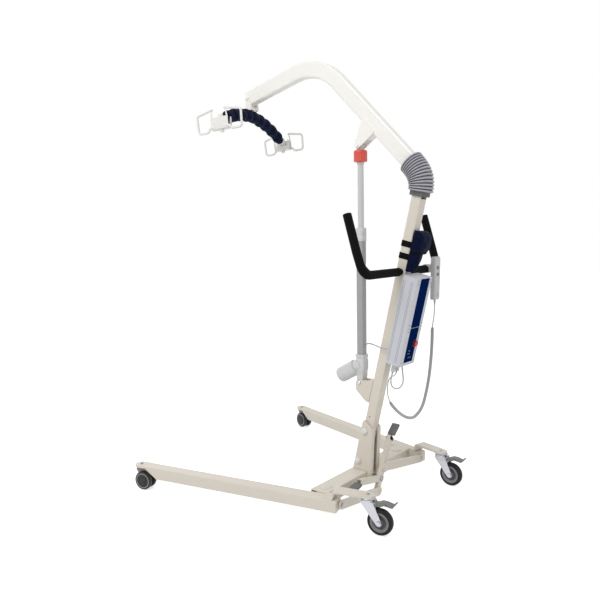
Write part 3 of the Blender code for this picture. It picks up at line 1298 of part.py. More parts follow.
def make_handset(root):
    """Hand control with a hook over the grip and two button wells in its face."""
    x, y = HANDSET_X, HANDSET_Y
    half, thick = HANDSET_WIDTH / 2, HANDSET_THICK / 2
    rings = []
    for z, wide, deep in ((HANDSET_LOW, 0.90, 0.80), (HANDSET_LOW + 0.006, 0.97, 1.0), (HANDSET_TOP - 0.008, 1.0, 1.0),
                          (HANDSET_TOP, 0.94, 0.75)):
        outline = rounded_outline(2 * half * wide, 2 * thick * deep, 0.005, 2, (x, y))
        rings.append([Vector((u, v, z)) for u, v in outline])
    handset = piece("handset", loft(rings), "handset_grey", root)
    cy, cz = BAR_CORNER[1], BAR_CORNER[2]
    inner = GRIP_R + GAP * 2
    hook = []
    for k in range(9):
        angle = math.radians(0 + 200 * k / 8)
        hook.append(Vector((x, cy + (inner + 0.0015) * math.cos(angle), cz + (inner + 0.0015) * math.sin(angle))))
    start = Vector((x, y - thick + 0.001, cz - 0.004))
    route = [start] + hook
    section = [(-0.012, -0.0015), (0.012, -0.0015), (0.012, 0.0015), (-0.012, 0.0015)]
    fuse(handset, loft(rings_along(route, section, Vector((1, 0, 0)))), root)
    bridge_low = cz - 0.012
    bridge = box((x - 0.012, cy + inner, bridge_low), (x + 0.012, y - thick + 0.001, cz + 0.004))
    fuse(handset, bridge, root)
    for z in button_heights():
        well = prism(rounded_outline(0.018, 0.014, 0.006, 2, (x, z)), y + thick - BUTTON_SEAT - BUTTON_TRAVEL - RUN,
                     y + thick + 0.01, "Y")
        cut(handset, well, root)
    return handset


def button_heights():
    return HANDSET_TOP - 0.045, HANDSET_TOP - 0.072


def make_button(name, frame):
    outline = rounded_outline(0.018 - 4 * GAP, 0.014 - 4 * GAP, 0.005)
    return piece(name, prism(outline, -BUTTON_SEAT, 0.0025, "Y"), "button_dark", frame)


def smooth_route(points, spacing):
    """Evenly spaced points on a smooth curve through a cord's route."""
    points = [Vector(point) for point in points]
    padded = [points[0] * 2 - points[1]] + points + [points[-1] * 2 - points[-2]]
    fine = []
    for a, b, c, d in zip(padded, padded[1:], padded[2:], padded[3:]):
        for k in range(12):
            t = k / 12
            fine.append(0.5 * (2 * b + (c - a) * t + (2 * a - 5 * b + 4 * c - d) * t * t
                               + (3 * b - a - 3 * c + d) * t ** 3))
    fine.append(points[-1])
    lengths = [0.0]
    for a, b in zip(fine, fine[1:]):
        lengths.append(lengths[-1] + (b - a).length)
    count = max(2, round(lengths[-1] / spacing))
    route, k = [], 0
    for step in range(count + 1):
        goal = lengths[-1] * step / count
        while k < len(lengths) - 2 and lengths[k + 1] < goal:
            k += 1
        share = (goal - lengths[k]) / max(lengths[k + 1] - lengths[k], 1e-9)
        route.append(fine[k].lerp(fine[k + 1], share))
    return route


def on_mast(x, y, z):
    """A point of the mast's own frame, in the lift's datum."""
    return (x, MAST_FOOT_Y + y * math.cos(LEAN) + z * math.sin(LEAN),
            MAST_FOOT_Z - y * math.sin(LEAN) + z * math.cos(LEAN))


def below_plug(x, drop):
    return on_mast(x, PLUG_Y, BOX_LOW - PLUG_LENGTH - GAP - drop)


CABLE_HEIGHT = 0.640
TUBE_LEAN = (CABLE_HEIGHT - ACTUATOR_PIN_Z) * math.tan(actuator_tilt())
TUBE_BACK = ACTUATOR_PIN_Y - TUBE_LEAN + TUBE_SIDE / 2 + GAP * 1.5
HANDSET_CORD = [(HANDSET_X, HANDSET_Y, HANDSET_LOW - GAP), (HANDSET_X, HANDSET_Y, 0.800), (-0.188, 0.217, 0.760),
                (-0.184, 0.213, 0.712), (-0.181, 0.214, 0.656), (-0.174, 0.215, 0.585), (-0.160, 0.212, 0.486),
                (-0.138, 0.200, 0.385), (-0.116, 0.178, 0.338), (-0.100, 0.158, 0.330), (-0.086, 0.134, 0.340),
                (-0.072, 0.110, 0.363), (-0.060, 0.092, 0.390), (-0.051, 0.084, 0.421), (-0.045, 0.084, 0.448),
                (-0.037, 0.093, 0.490), (-0.030, 0.110, 0.512), (-0.022, 0.128, 0.520),
                below_plug(-PLUG_X, 0.012), below_plug(-PLUG_X, 0.0)]
MOTOR_CABLE = [(0.0, TUBE_BACK, CABLE_HEIGHT), (0.0, TUBE_BACK + 0.007, CABLE_HEIGHT + 0.0005), (0.008, 0.020, 0.646),
               (0.024, 0.048, 0.649), (0.042, 0.085, 0.647), (0.048, 0.112, 0.643),
               on_mast(0.045, BOX_BACK - GAP - 0.008, 0.457), on_mast(0.045, BOX_BACK - GAP, 0.457)]
BOX_LEAD = [below_plug(PLUG_X, 0.0), below_plug(PLUG_X, 0.012), (0.014, 0.134, 0.505), (0.008, 0.138, 0.482),
            (-0.001, 0.152, 0.474), (-0.008, 0.168, 0.484), (-0.012, 0.176, 0.510),
            on_mast(-0.012, BOX_BACK + 0.040, BOX_LOW - GAP - 0.012), on_mast(-0.012, BOX_BACK + 0.040, BOX_LOW - GAP)]
CURL_START = 0.160
CURL_END = 0.625


def make_tube(name, points, radius, spacing, colour, root, resolution=2):
    """A cord as a filled tube on a poly line."""
    curve = bpy.data.curves.new(name, "CURVE")
    curve.dimensions = "3D"
    curve.bevel_depth = radius
    curve.bevel_resolution = resolution
    curve.use_fill_caps = True
    route = smooth_route(points, spacing) if spacing else points
    line = curve.splines.new("POLY")
    line.points.add(len(route) - 1)
    for spot, point in zip(line.points, route):
        spot.co = (*point, 1.0)
    curve.materials.append(paint(colour))
    made = bpy.data.objects.new(name, curve)
    bpy.context.collection.objects.link(made)
    made.parent = root
    return made


def curly_points():
    """The handset's cord: a straight lead, a helix whose radius grows and fades, and a straight lead again."""
    centre = smooth_route(HANDSET_CORD, 0.0015)
    lengths = [0.0]
    for a, b in zip(centre, centre[1:]):
        lengths.append(lengths[-1] + (b - a).length)
    total = CURLS * POINTS_PER_CURL
    points = []

    def at(distance):
        for k in range(len(lengths) - 1):
            if lengths[k + 1] >= distance:
                share = (distance - lengths[k]) / (lengths[k + 1] - lengths[k])
                return centre[k].lerp(centre[k + 1], share), (centre[k + 1] - centre[k]).normalized()
        return centre[-1], (centre[-1] - centre[-2]).normalized()
    steps = 10
    for k in range(steps):
        points.append(at(CURL_START * k / steps)[0])
    for k in range(total + 1):
        share = k / total
        place, ahead = at(CURL_START + (CURL_END - CURL_START) * share)
        out = ahead.cross(Vector((0.8, -0.6, 0))).normalized()
        over = ahead.cross(out)
        angle = 2 * math.pi * k / POINTS_PER_CURL
        grow = min(1.0, share * CURLS / 1.0, (1 - share) * CURLS / 1.0)
        radius = (CURL_R - CURL_WIRE_R) * grow
        points.append(place + out * radius * math.cos(angle) + over * radius * math.sin(angle))
    for k in range(1, steps * 2):
        points.append(at(CURL_END + (lengths[-1] - CURL_END) * k / (steps * 2))[0])
    points.append(centre[-1])
    return points


def least_gap(points):
    """Smallest distance between the tube's surface and itself, between points a turn or more apart."""
    least = 1.0
    for k, here in enumerate(points):
        for there in points[k + POINTS_PER_CURL // 2 + 2:k + 3 * POINTS_PER_CURL]:
            least = min(least, (here - there).length)
    return least - 2 * CURL_WIRE_R


def make_handset_cord(root):
    points = curly_points()
    print("least gap of the curly cord to itself, mm:", round(least_gap(points) * 1000, 2))
    return make_tube("handset_cord", points, CURL_WIRE_R, None, "cord_grey", root, 1)


def make_pouch(frame):
    """Sling pouch strapped to the mast's back, above the control box."""
    rings = []
    y0 = MAST_DEPTH / 2 + GAP
    tall = POUCH_TOP - POUCH_LOW
    for share, left, right, deep in ((0.0, 0.030, -0.012, 0.020), (0.055, 0.034, -0.022, 0.034),
                                     (0.40, 0.034, -0.040, 0.040), (0.77, 0.034, -0.066, 0.036),
                                     (0.94, 0.030, -0.067, 0.026), (1.0, 0.022, -0.058, 0.014)):
        z = POUCH_LOW + share * tall
        outline = rounded_outline(left - right, deep, min(0.008, deep / 3), 2, ((left + right) / 2, y0 + deep / 2))
        rings.append([Vector((u, v, z)) for u, v in outline])
    pouch = piece("sling_pouch", loft(rings), "navy_fabric", frame)
    band = 2 * (GAP + STRAP_THICK)
    for low in STRAP_LOWS:
        strap = rounded_outline(MAST_WIDTH + band, MAST_DEPTH + band, 0.006)
        fuse(pouch, prism(strap, low, low + STRAP_HEIGHT), frame)
    hollow = rounded_outline(MAST_WIDTH + 2 * GAP, MAST_DEPTH + 2 * GAP, 0.005)
    cut(pouch, prism(hollow, POUCH_LOW - 0.05, POUCH_TOP + 0.05), frame)
    return pouch


def make_base(root):
    make_crossbeam(root)
    make_socket(root)
    make_leg_bolt("left_leg_bolt", 1, root)
    make_leg_bolt("right_leg_bolt", -1, root)
    make_pedal_bolt(root)
    pedal = frame_at("pedal_axis", root, (0, PEDAL_Y, PEDAL_Z))
    make_pedal(pedal)
    make_pad("left_pad", PEDAL_ARM_B, PEDAL_ARM_B_LENGTH, 1, pedal)
    make_pad("right_pad", PEDAL_ARM_A, PEDAL_ARM_A_LENGTH, -1, pedal)
    for side_name, side in (("left", 1), ("right", -1)):
        leg = frame_at(side_name + "_leg_axis", root, (side * LEG_PIVOT_X, 0, 0), (0, 0, side * SPLAY))
        make_leg(side_name, side, leg)
        x = side * LEG_OFFSET
        swivel = frame_at(side_name + "_rear_swivel", leg, (x, SWIVEL_BACK, 0), (0, 0, REAR_TURNS[side_name] - side * SPLAY))
        make_fork(side_name + "_fork", swivel)
        wheel = frame_at(side_name + "_rear_axle", swivel, (0, REAR_TRAIL, REAR_WHEEL_R))
        make_wheel_core(side_name + "_wheel_core", wheel)
        make_tyre(side_name + "_tyre", wheel)
        back, up = brake_pivot()
        make_brake(side_name + "_brake", frame_at(side_name + "_brake_axis", swivel, (0, back, up)))
        front = frame_at(side_name + "_front_swivel", leg, (x, -LEG_NOSE, 0))
        make_hood(side_name + "_castor_hood", front)
        axle = frame_at(side_name + "_front_axle", front, (0, FRONT_TRAIL, FRONT_WHEEL_R))
        make_twin_wheels(side_name + "_twin_wheels", axle)
        yaw, pitch, length = tie_layout(side)
        stud = (side * TIE_EYE_X, LEG_REAR + TIE_EYE_BACK, TIE_EYE_Z)
        ball = frame_at(side_name + "_tie_ball_axis", leg, stud)
        make_tie_ball(side_name, side, ball)
        tie = frame_at(side_name + "_tie_axis", leg, stud)
        tie.rotation_mode = "QUATERNION"
        turn = Matrix.Rotation(yaw, 3, "Z") @ Matrix.Rotation(pitch, 3, "Y")
        tie.rotation_quaternion = turn.to_quaternion()
        make_tie_link(side_name, side, length, tie)


def make_column(root):
    mast = frame_at("mast_axis", root, (0, MAST_FOOT_Y, MAST_FOOT_Z), (-LEAN, 0, 0))
    make_mast(mast, root)
    make_mast_bolt("mast_bolt_upper", MAST_BOLT_UPPER, root)
    make_mast_bolt("mast_bolt_lower", MAST_BOLT_LOWER, root)
    make_actuator_bracket(root)
    half = FOOT_WIDTH / 2 + SIDE_PLAY + BRACKET_PLATE
    make_cross_pin("actuator_pin", ACTUATOR_PIN_R, 0.009, half, ACTUATOR_PIN_Y, ACTUATOR_PIN_Z, root)
    make_cross_pin("boom_pin", BOOM_PIN_R, 0.010, MAST_WIDTH / 2, HINGE_Y, HINGE_Z, root)
    make_bellows(root)
    make_handlebar(root)
    make_grip("left_grip", 1, root)
    make_grip("right_grip", -1, root)
    make_box_housing(mast)
    make_front_cover(mast)
    make_battery(mast)
    make_board(mast)
    make_stop_button(frame_at("stop_axis", mast, (STOP_X, BOX_FRONT + STOP_TRAVEL + GAP, STOP_Z)))
    make_pouch(mast)
    make_handset(root)
    face = HANDSET_Y + HANDSET_THICK / 2
    for name, z in zip(("button_up", "button_down"), button_heights()):
        make_button(name, frame_at(name + "_axis", root, (HANDSET_X, face, z)))
    make_handset_cord(root)
    make_tube("motor_cable", MOTOR_CABLE, CORD_R * 0.8, 0.012, "cord_grey", root, 1)
    make_tube("box_lead", BOX_LEAD, CORD_R * 0.8, 0.012, "cord_grey", root, 1)


def make_lift(root):
    boom = frame_at("boom_axis", root, (0, HINGE_Y, HINGE_Z))
    make_boom(boom)
    tilt = frame_at("actuator_axis", root, (0, ACTUATOR_PIN_Y, ACTUATOR_PIN_Z), (actuator_tilt(), 0, 0))
    make_gear_housing(tilt)
    make_motor(tilt)
    make_outer_tube(tilt)
    make_rod(tilt)
    make_release_collar(tilt)
    swing = frame_at("hanger_axis", boom, (0, BOOM_TIP[0] - HINGE_Y, BOOM_TIP[1] - HINGE_Z), (HANGER_SWING, 0, 0))
    make_hanger(swing)
    cradle = frame_at("cradle_axis", swing, (0, 0, 0), (0, 0, CRADLE_HEADING))
    make_spreader_bar(cradle)
    make_bar_cover(cradle)
    for name, side in (("left_hook_set", 1), ("right_hook_set", -1)):
        make_hook_set(name, side, frame_at(name + "_axis", cradle, (side * BAR_HALF, 0, HOOK_RIM)))


def main():
    clear_scene()
    root = frame_at("lift_datum", None, (0, PIVOT_LINE_Y, 0))
    make_base(root)
    make_column(root)
    make_lift(root)


main()
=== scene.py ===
# %% [markdown]
# # A mobile patient lift, dressed
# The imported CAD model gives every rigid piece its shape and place. This notebook loads it as a fixed frame,
# sets the camera and the light, replaces the soft pieces by sewn, moulded and coiled ones, and gives every
# surface a finish. All sizes are metres: +Z is up, and the lift looks along -Y.

# %% Load the frame
import json
import math

import bmesh
import bpy
from mathutils import Matrix, Vector, noise


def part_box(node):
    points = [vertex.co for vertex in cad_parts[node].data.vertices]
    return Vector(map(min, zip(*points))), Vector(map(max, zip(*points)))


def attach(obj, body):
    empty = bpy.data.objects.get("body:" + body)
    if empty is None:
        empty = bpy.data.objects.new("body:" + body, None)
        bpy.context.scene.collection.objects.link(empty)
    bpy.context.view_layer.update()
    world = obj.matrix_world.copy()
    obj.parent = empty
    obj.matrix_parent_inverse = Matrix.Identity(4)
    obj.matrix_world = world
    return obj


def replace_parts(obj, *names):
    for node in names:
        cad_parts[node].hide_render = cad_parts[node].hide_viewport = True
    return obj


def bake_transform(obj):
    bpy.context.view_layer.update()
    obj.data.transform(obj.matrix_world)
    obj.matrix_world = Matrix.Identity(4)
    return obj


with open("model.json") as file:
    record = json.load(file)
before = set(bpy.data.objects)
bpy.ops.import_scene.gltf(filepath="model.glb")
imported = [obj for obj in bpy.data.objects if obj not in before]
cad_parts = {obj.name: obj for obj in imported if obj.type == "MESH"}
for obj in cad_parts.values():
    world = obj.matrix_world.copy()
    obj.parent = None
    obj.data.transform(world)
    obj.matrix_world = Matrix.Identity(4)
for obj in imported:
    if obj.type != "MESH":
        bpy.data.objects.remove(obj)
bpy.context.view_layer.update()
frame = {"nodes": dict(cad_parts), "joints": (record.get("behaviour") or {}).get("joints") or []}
nodes = frame["nodes"]
joints = {joint["name"]: joint for joint in frame["joints"]}
scene = bpy.context.scene

# %% [markdown]
# Most pieces sit in one of a few tilted frames: the mast leans back, the actuator leans a little forward, and
# each sling hook set hangs square to its own pin. A frame is a matrix, made from a joint's place and axis, so
# the pieces below are written in short local sizes and still land where the CAD says.

# %% Frames of the lift
DATUM_Y = joints["left_leg_swing"]["pos_m"][1]
MAST_LEAN = math.radians(12.07)
MAST_FOOT = Vector((0.0, 0.0146 + DATUM_Y, 0.200))


def point(x, y, z):
    """A point measured from the line through both leg pivots."""
    return Vector((x, y + DATUM_Y, z))


def frame_from(origin, up, along):
    """A matrix whose Z follows up and whose X lies as near to along as it can."""
    z = Vector(up).normalized()
    x = (Vector(along) - z * Vector(along).dot(z)).normalized()
    turn = Matrix((x, z.cross(x), z)).transposed()
    return Matrix.Translation(Vector(origin)) @ turn.to_4x4()


def joint_place(name):
    return Vector(joints[name]["pos_m"])


def joint_axis(name):
    return Vector(joints[name]["axis"])


def middle(node):
    low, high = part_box(node)
    return (low + high) / 2


WORLD = Matrix.Identity(4)
MAST = Matrix.Translation(MAST_FOOT) @ Matrix.Rotation(-MAST_LEAN, 4, "X")
ACTUATOR = frame_from(joint_place("actuator_tilt"), joint_axis("rod_slide"), (1, 0, 0))
CRADLE = frame_from(joint_place("cradle_turn"), joint_axis("cradle_turn"),
                    joint_place("left_hook_turn") - joint_place("right_hook_turn"))

# %% [markdown]
# The photograph was taken from behind the lift's left side, at about the height of the handlebar. The lens and
# the place were solved from points that the picture shows: castor bottoms, the mast's edges and the boom's tip.

# %% Camera
CAMERA_PLACE = point(2.2501, 1.4438, 1.1349)
CAMERA_AIM = Vector((-0.77716, -0.61856, -0.11576))
LENS_MM = 38.85
camera = bpy.data.objects.new("camera", bpy.data.cameras.new("camera"))
scene.collection.objects.link(camera)
camera.location = CAMERA_PLACE
camera.rotation_euler = CAMERA_AIM.to_track_quat("-Z", "Y").to_euler()
camera.data.lens = LENS_MM
camera.data.sensor_width = 36.0
scene.camera = camera

# %% [markdown]
# A catalogue picture is lit by large soft boxes. Three area lamps stand round the lift and a pale world fills
# the shadows. The floor is white to the camera and to reflections, and keeps the object's soft shadow.

# %% Light and floor
scene.view_settings.view_transform = "Standard"
WORLD_LEVEL = 0.50


def area_lamp(name, place, aim, size, power):
    lamp = bpy.data.objects.new(name, bpy.data.lights.new(name, "AREA"))
    lamp.data.shape = "DISK"
    lamp.data.size = size
    lamp.data.energy = power
    lamp.location = place
    lamp.visible_camera = False
    lamp.rotation_euler = (Vector(aim) - Vector(place)).to_track_quat("-Z", "Y").to_euler()
    scene.collection.objects.link(lamp)
    return lamp


area_lamp("key_lamp", (3.2, 0.2, 3.4), (0, 0.1, 0.8), 2.4, 66)
area_lamp("fill_lamp", (-1.2, 3.4, 2.2), (0, 0.1, 0.8), 2.6, 16)
area_lamp("front_lamp", (-1.6, -3.4, 2.8), (0, 0.0, 0.9), 2.4, 20)

world = bpy.data.worlds.new("studio")
world.use_nodes = True
scene.world = world
world_nodes, world_links = world.node_tree.nodes, world.node_tree.links
sky = world_nodes["Background"]
rays = world_nodes.new("ShaderNodeLightPath")
seen = world_nodes.new("ShaderNodeMath")
seen.operation = "MAXIMUM"
world_links.new(rays.outputs["Is Camera Ray"], seen.inputs[0])
world_links.new(rays.outputs["Is Glossy Ray"], seen.inputs[1])
level = world_nodes.new("ShaderNodeMapRange")
level.inputs["To Min"].default_value = WORLD_LEVEL
world_links.new(seen.outputs[0], level.inputs["Value"])
world_links.new(level.outputs["Result"], sky.inputs["Strength"])
sky.inputs["Color"].default_value = (1.0, 1.0, 1.0, 1.0)

# %% [markdown]
# Finishes are shader graphs. Writing them as Python expressions keeps them readable: a Value wraps one socket,
# its operators add Math nodes, and Finish.node makes any other node from its type, settings and inputs.

# %% Shader helpers
class Value:
    """A number that varies over a surface. Its operators add Math nodes."""

    def __init__(self, finish, socket):
        self.finish = finish
        self.socket = socket

    def maths(self, operation, *others):
        made = self.finish.tree.nodes.new("ShaderNodeMath")
        made.operation = operation
        for slot, value in zip(made.inputs, others):
            self.finish.feed(slot, value)
        return Value(self.finish, made.outputs[0])

    def __add__(self, other):
        return self.maths("ADD", self, other)

    def __sub__(self, other):
        return self.maths("SUBTRACT", self, other)

    def __rsub__(self, other):
        return self.maths("SUBTRACT", other, self)

    def __mul__(self, other):
        return self.maths("MULTIPLY", self, other)

    def __gt__(self, other):
        return self.maths("GREATER_THAN", self, other)

    def sine(self):
        return self.maths("SINE", self)

    def size(self):
        return self.maths("ABSOLUTE", self)

    def power(self, exponent):
        return self.maths("POWER", self, exponent)


class Finish:
    """One material and the nodes that feed its Principled shader."""

    def __init__(self, name, colour, roughness, metallic=0.0, coat=0.0, specular=0.5):
        self.material = bpy.data.materials.new(name)
        self.material.use_nodes = True
        self.tree = self.material.node_tree
        self.shader = self.tree.nodes["Principled BSDF"]
        self.material.diffuse_color = (*colour, 1.0)
        self.colour = colour
        self.set("Base Color", (*colour, 1.0))
        self.set("Roughness", roughness)
        self.set("Metallic", metallic)
        self.set("Coat Weight", coat)
        self.set("Specular IOR Level", specular)

    def feed(self, slot, value):
        if isinstance(value, Value):
            self.tree.links.new(value.socket, slot)
        else:
            slot.default_value = value

    def set(self, name, value):
        self.feed(self.shader.inputs[name], value)

    def node(self, kind, settings=None, values=None, output=0):
        made = self.tree.nodes.new(kind)
        for key, value in (settings or {}).items():
            setattr(made, key, value)
        for key, value in (values or {}).items():
            self.feed(made.inputs[key], value)
        return Value(self, made.outputs[output])

    def place(self):
        """The surface point, in metres."""
        return self.node("ShaderNodeTexCoord", output="Object")

    def noise(self, scale, detail=3.0, where=None):
        return self.node("ShaderNodeTexNoise", values={"Vector": where or self.place(), "Scale": scale,
                                                       "Detail": detail})

    def mix(self, share, first, second):
        """A colour between two colours."""
        made = self.tree.nodes.new("ShaderNodeMix")
        made.data_type = "RGBA"
        self.feed(made.inputs["Factor"], share)
        self.feed(made.inputs[6], first)
        self.feed(made.inputs[7], second)
        return Value(self, made.outputs[2])

    def bump(self, height, distance, strength=1.0):
        self.set("Normal", self.node("ShaderNodeBump", values={"Height": height, "Distance": distance,
                                                               "Strength": strength}, output="Normal"))

    def shade(self, share, darker):
        """Varies the base colour towards a darker tone of itself."""
        dark = tuple(v * darker for v in self.colour)
        self.set("Base Color", self.mix(share, (*self.colour, 1.0), (*dark, 1.0)))


# %% [markdown]
# The steel frame is powder coated: a baked skin with a fine orange-peel ripple and an even, slightly soft
# gloss. Two noises give it, one for the ripple and one, much larger, for the faint change of tone that a
# sprayed coat has. The same recipe with other numbers makes the boom's ivory and the white hooks.

# %% Coated metal
def coated(name, colour, roughness, ripple=0.00003, grain=420.0):
    finish = Finish(name, colour, roughness, coat=0.15, specular=0.4)
    finish.shader.inputs["Coat Roughness"].default_value = 0.25
    peel = finish.noise(grain, 2.0)
    cloudy = finish.noise(7.0, 2.0)
    finish.shade((cloudy - 0.45) * 0.9, 0.95)
    finish.set("Roughness", peel * 0.10 + (roughness - 0.05))
    finish.bump(peel, ripple)
    return finish.material


beige_coat = coated("beige_coat", (0.760, 0.700, 0.610), 0.40)
ivory_coat = coated("ivory_coat", (0.975, 0.955, 0.905), 0.34)
white_coat = coated("white_coat", (0.840, 0.830, 0.800), 0.30, 0.00001)

# %% [markdown]
# Turned and plated steel keeps the lines of its last tool. A stretched noise along one axis gives brushing,
# and changes only the roughness and a very small bump, so that the metal still reads as one colour.

# %% Bare metal
def metal(name, colour, roughness, brushing=(900.0, 900.0, 90.0)):
    finish = Finish(name, colour, roughness, metallic=1.0)
    stretched = finish.node("ShaderNodeMapping", values={"Vector": finish.place(), "Scale": brushing})
    lines = finish.noise(1.0, 3.0, stretched)
    finish.set("Roughness", lines * 0.22 + (roughness - 0.10))
    finish.bump(lines, 0.00002)
    return finish.material


zinc_plate = metal("zinc_plate", (0.52, 0.52, 0.56), 0.26)
dark_steel = metal("dark_steel", (0.34, 0.34, 0.35), 0.42)

# %% [markdown]
# Moulded plastic has a spark-eroded grain: tiny cells pressed into every face, so light breaks up softly.
# A Voronoi pattern with cells of 0.4 to 0.7 mm gives them. Glossy parts, such as the red stop button, have
# nearly none of it. Rubber adds a chalky bloom, a faint paler noise in its black.

# %% Plastics and rubber
def moulded(name, colour, roughness, grain=0.00002, pitch=2600.0, darker=0.92, coat=0.0, specular=0.4):
    finish = Finish(name, colour, roughness, coat=coat, specular=specular)
    cells = finish.node("ShaderNodeTexVoronoi", {"feature": "SMOOTH_F1"},
                        {"Vector": finish.place(), "Scale": pitch}, "Distance")
    cloudy = finish.noise(22.0, 3.0)
    finish.shade((cloudy - 0.42) * 0.8, darker)
    finish.set("Roughness", cells * 0.10 + (roughness - 0.04))
    finish.bump(cells, grain)
    return finish.material


def rubber(name, colour, bloom, roughness, grain=0.00005, specular=0.25):
    finish = Finish(name, colour, roughness, specular=specular)
    dust = finish.noise(60.0, 6.0)
    cloudy = finish.noise(9.0, 2.0)
    share = (dust * cloudy * 2.2 - 0.30) * 0.8
    finish.set("Base Color", finish.mix(share, (*colour, 1.0), (*bloom, 1.0)))
    finish.set("Roughness", dust * 0.16 + (roughness - 0.08))
    finish.bump(finish.noise(1300.0, 2.0), grain)
    return finish.material


box_plastic = moulded("box_plastic", (0.640, 0.655, 0.705), 0.40, 0.00004, 1500.0, 0.95)
handset_plastic = moulded("handset_plastic", (0.600, 0.600, 0.605), 0.46)
motor_plastic = moulded("motor_plastic", (0.690, 0.695, 0.705), 0.40, 0.00005, 1400.0, 0.94)
tube_grey = moulded("tube_grey", (0.400, 0.400, 0.415), 0.34, 0.00001)
rod_silver = moulded("rod_silver", (0.640, 0.650, 0.640), 0.28, 0.00001)
core_plastic = moulded("core_plastic", (0.215, 0.205, 0.220), 0.42)
# groove_grey paints the shade in grooves, slots and gaps, and is also the colour of the handset's printed arrows
groove_grey = moulded("groove_grey", (0.070, 0.066, 0.072), 0.50, specular=0.25)
twin_plastic = moulded("twin_plastic", (0.030, 0.028, 0.028), 0.40, specular=0.3)
rim_plastic = moulded("rim_plastic", (0.360, 0.355, 0.360), 0.30)
hood_plastic = moulded("hood_plastic", (0.300, 0.295, 0.300), 0.28)
brake_plastic = moulded("brake_plastic", (0.200, 0.215, 0.200), 0.50)
knob_plastic = moulded("knob_plastic", (0.800, 0.805, 0.790), 0.34)
red_plastic = moulded("red_plastic", (0.760, 0.085, 0.060), 0.34, 0.00003, coat=0.25)
stop_red = moulded("stop_red", (0.620, 0.020, 0.020), 0.22, 0.00001, coat=0.60)
button_plastic = moulded("button_plastic", (0.050, 0.050, 0.056), 0.45, specular=0.25)
strip_blue = moulded("strip_blue", (0.0025, 0.0150, 0.0900), 0.34, 0.00001, specular=0.0)
battery_plastic = moulded("battery_plastic", (0.040, 0.040, 0.045), 0.50)
board_green = moulded("board_green", (0.030, 0.160, 0.080), 0.40, coat=0.3)
tyre_rubber = rubber("tyre_rubber", (0.012, 0.011, 0.012), (0.045, 0.043, 0.042), 0.60, specular=0.18)
pad_rubber = rubber("pad_rubber", (0.170, 0.170, 0.178), (0.240, 0.240, 0.240), 0.70)
cuff_rubber = rubber("cuff_rubber", (0.130, 0.130, 0.135), (0.190, 0.190, 0.195), 0.55)
cord_vinyl = moulded("cord_vinyl", (0.500, 0.500, 0.500), 0.42, 0.00001)
black_band = rubber("black_band", (0.008, 0.008, 0.009), (0.022, 0.022, 0.023), 0.72, specular=0.12)

# %% [markdown]
# Foam grips are open cells under a thin skin: a Voronoi of about one millimetre, bumped downwards, on an
# almost black base.

# %% Foam
def foam(name, colour):
    finish = Finish(name, colour, 0.86, specular=0.10)
    cells = finish.node("ShaderNodeTexVoronoi", {"feature": "F1"},
                        {"Vector": finish.place(), "Scale": 900.0}, "Distance")
    # painted shade: the colour darkens where the cells are bumped deepest
    finish.shade(cells * 0.7, 0.55)
    finish.bump(cells, -0.00035)
    return finish.material


grip_foam = foam("grip_foam", (0.0055, 0.0052, 0.0056))

# %% [markdown]
# The boot's rubber is paler on its ridges and darker down in its grooves, where the dark is painted shade.
# The tree that makes the boot leaves its depth as an attribute, called crease, and this finish
# reads it.

# %% Boot rubber
def boot_finish():
    finish = Finish("boot_rubber", (0.420, 0.420, 0.470), 0.40, specular=0.5)
    crease = finish.node("ShaderNodeAttribute", {"attribute_name": "crease"}, output="Fac")
    worn = finish.noise(40.0, 4.0)
    # painted shade: the colour runs from pale on the ridges to near black where the groove is deepest; the worn noise
    # adds a random tone
    share = crease.power(0.7) * 0.92 + (worn - 0.5) * 0.12
    finish.set("Base Color", finish.mix(share, (0.470, 0.470, 0.520, 1.0), (0.050, 0.050, 0.058, 1.0)))
    finish.set("Roughness", worn * 0.15 + 0.30)
    finish.bump(finish.noise(900.0, 2.0), 0.00003)
    return finish.material


boot_rubber = boot_finish()

# %% [markdown]
# The cradle's sleeve and the pouch are coated nylon. A plain weave is two sets of threads that take turns on
# top: the sign of sine times sine is a chequerboard that says which set is up, and the size of one sine gives
# each thread its round back. The pattern reads the piece's own UV map, which is in metres, so the threads
# follow the cloth.

# %% Woven cloth
def woven(name, colour, pitch=0.0011, roughness=0.62):
    finish = Finish(name, colour, roughness, specular=0.05)
    flat = finish.node("ShaderNodeUVMap", {"uv_map": "cloth"})
    split = finish.tree.nodes.new("ShaderNodeSeparateXYZ")
    finish.feed(split.inputs[0], flat)
    turns = math.pi / pitch
    warp = (Value(finish, split.outputs[0]) * turns).sine()
    weft = (Value(finish, split.outputs[1]) * turns).sine()
    warp_up = (warp * weft) > 0.0
    thread = warp_up * warp.size() + (1.0 - warp_up) * weft.size()
    cloudy = finish.noise(14.0, 4.0)
    # painted shade: the colour darkens in the dips between the threads' round backs, and the cloudy noise adds a
    # random tone
    finish.shade((1.0 - thread) * 0.45 + (cloudy - 0.4) * 0.5, 0.45)
    finish.set("Roughness", (1.0 - thread) * 0.18 + (roughness - 0.06))
    finish.bump(thread, pitch * 0.16, 0.8)
    return finish.material


navy_nylon = woven("navy_nylon", (0.0034, 0.0068, 0.0310))
strap_webbing = woven("strap_webbing", (0.0070, 0.0070, 0.0080), 0.0018, 0.75)
thread_navy = moulded("thread_navy", (0.030, 0.040, 0.095), 0.70, 0.00001)

# %% [markdown]
# The floor and the backdrop are one pale sheet. It shows white to the camera without sending extra light on
# to the lift, because its glow is only for rays that the camera or a reflection sends.

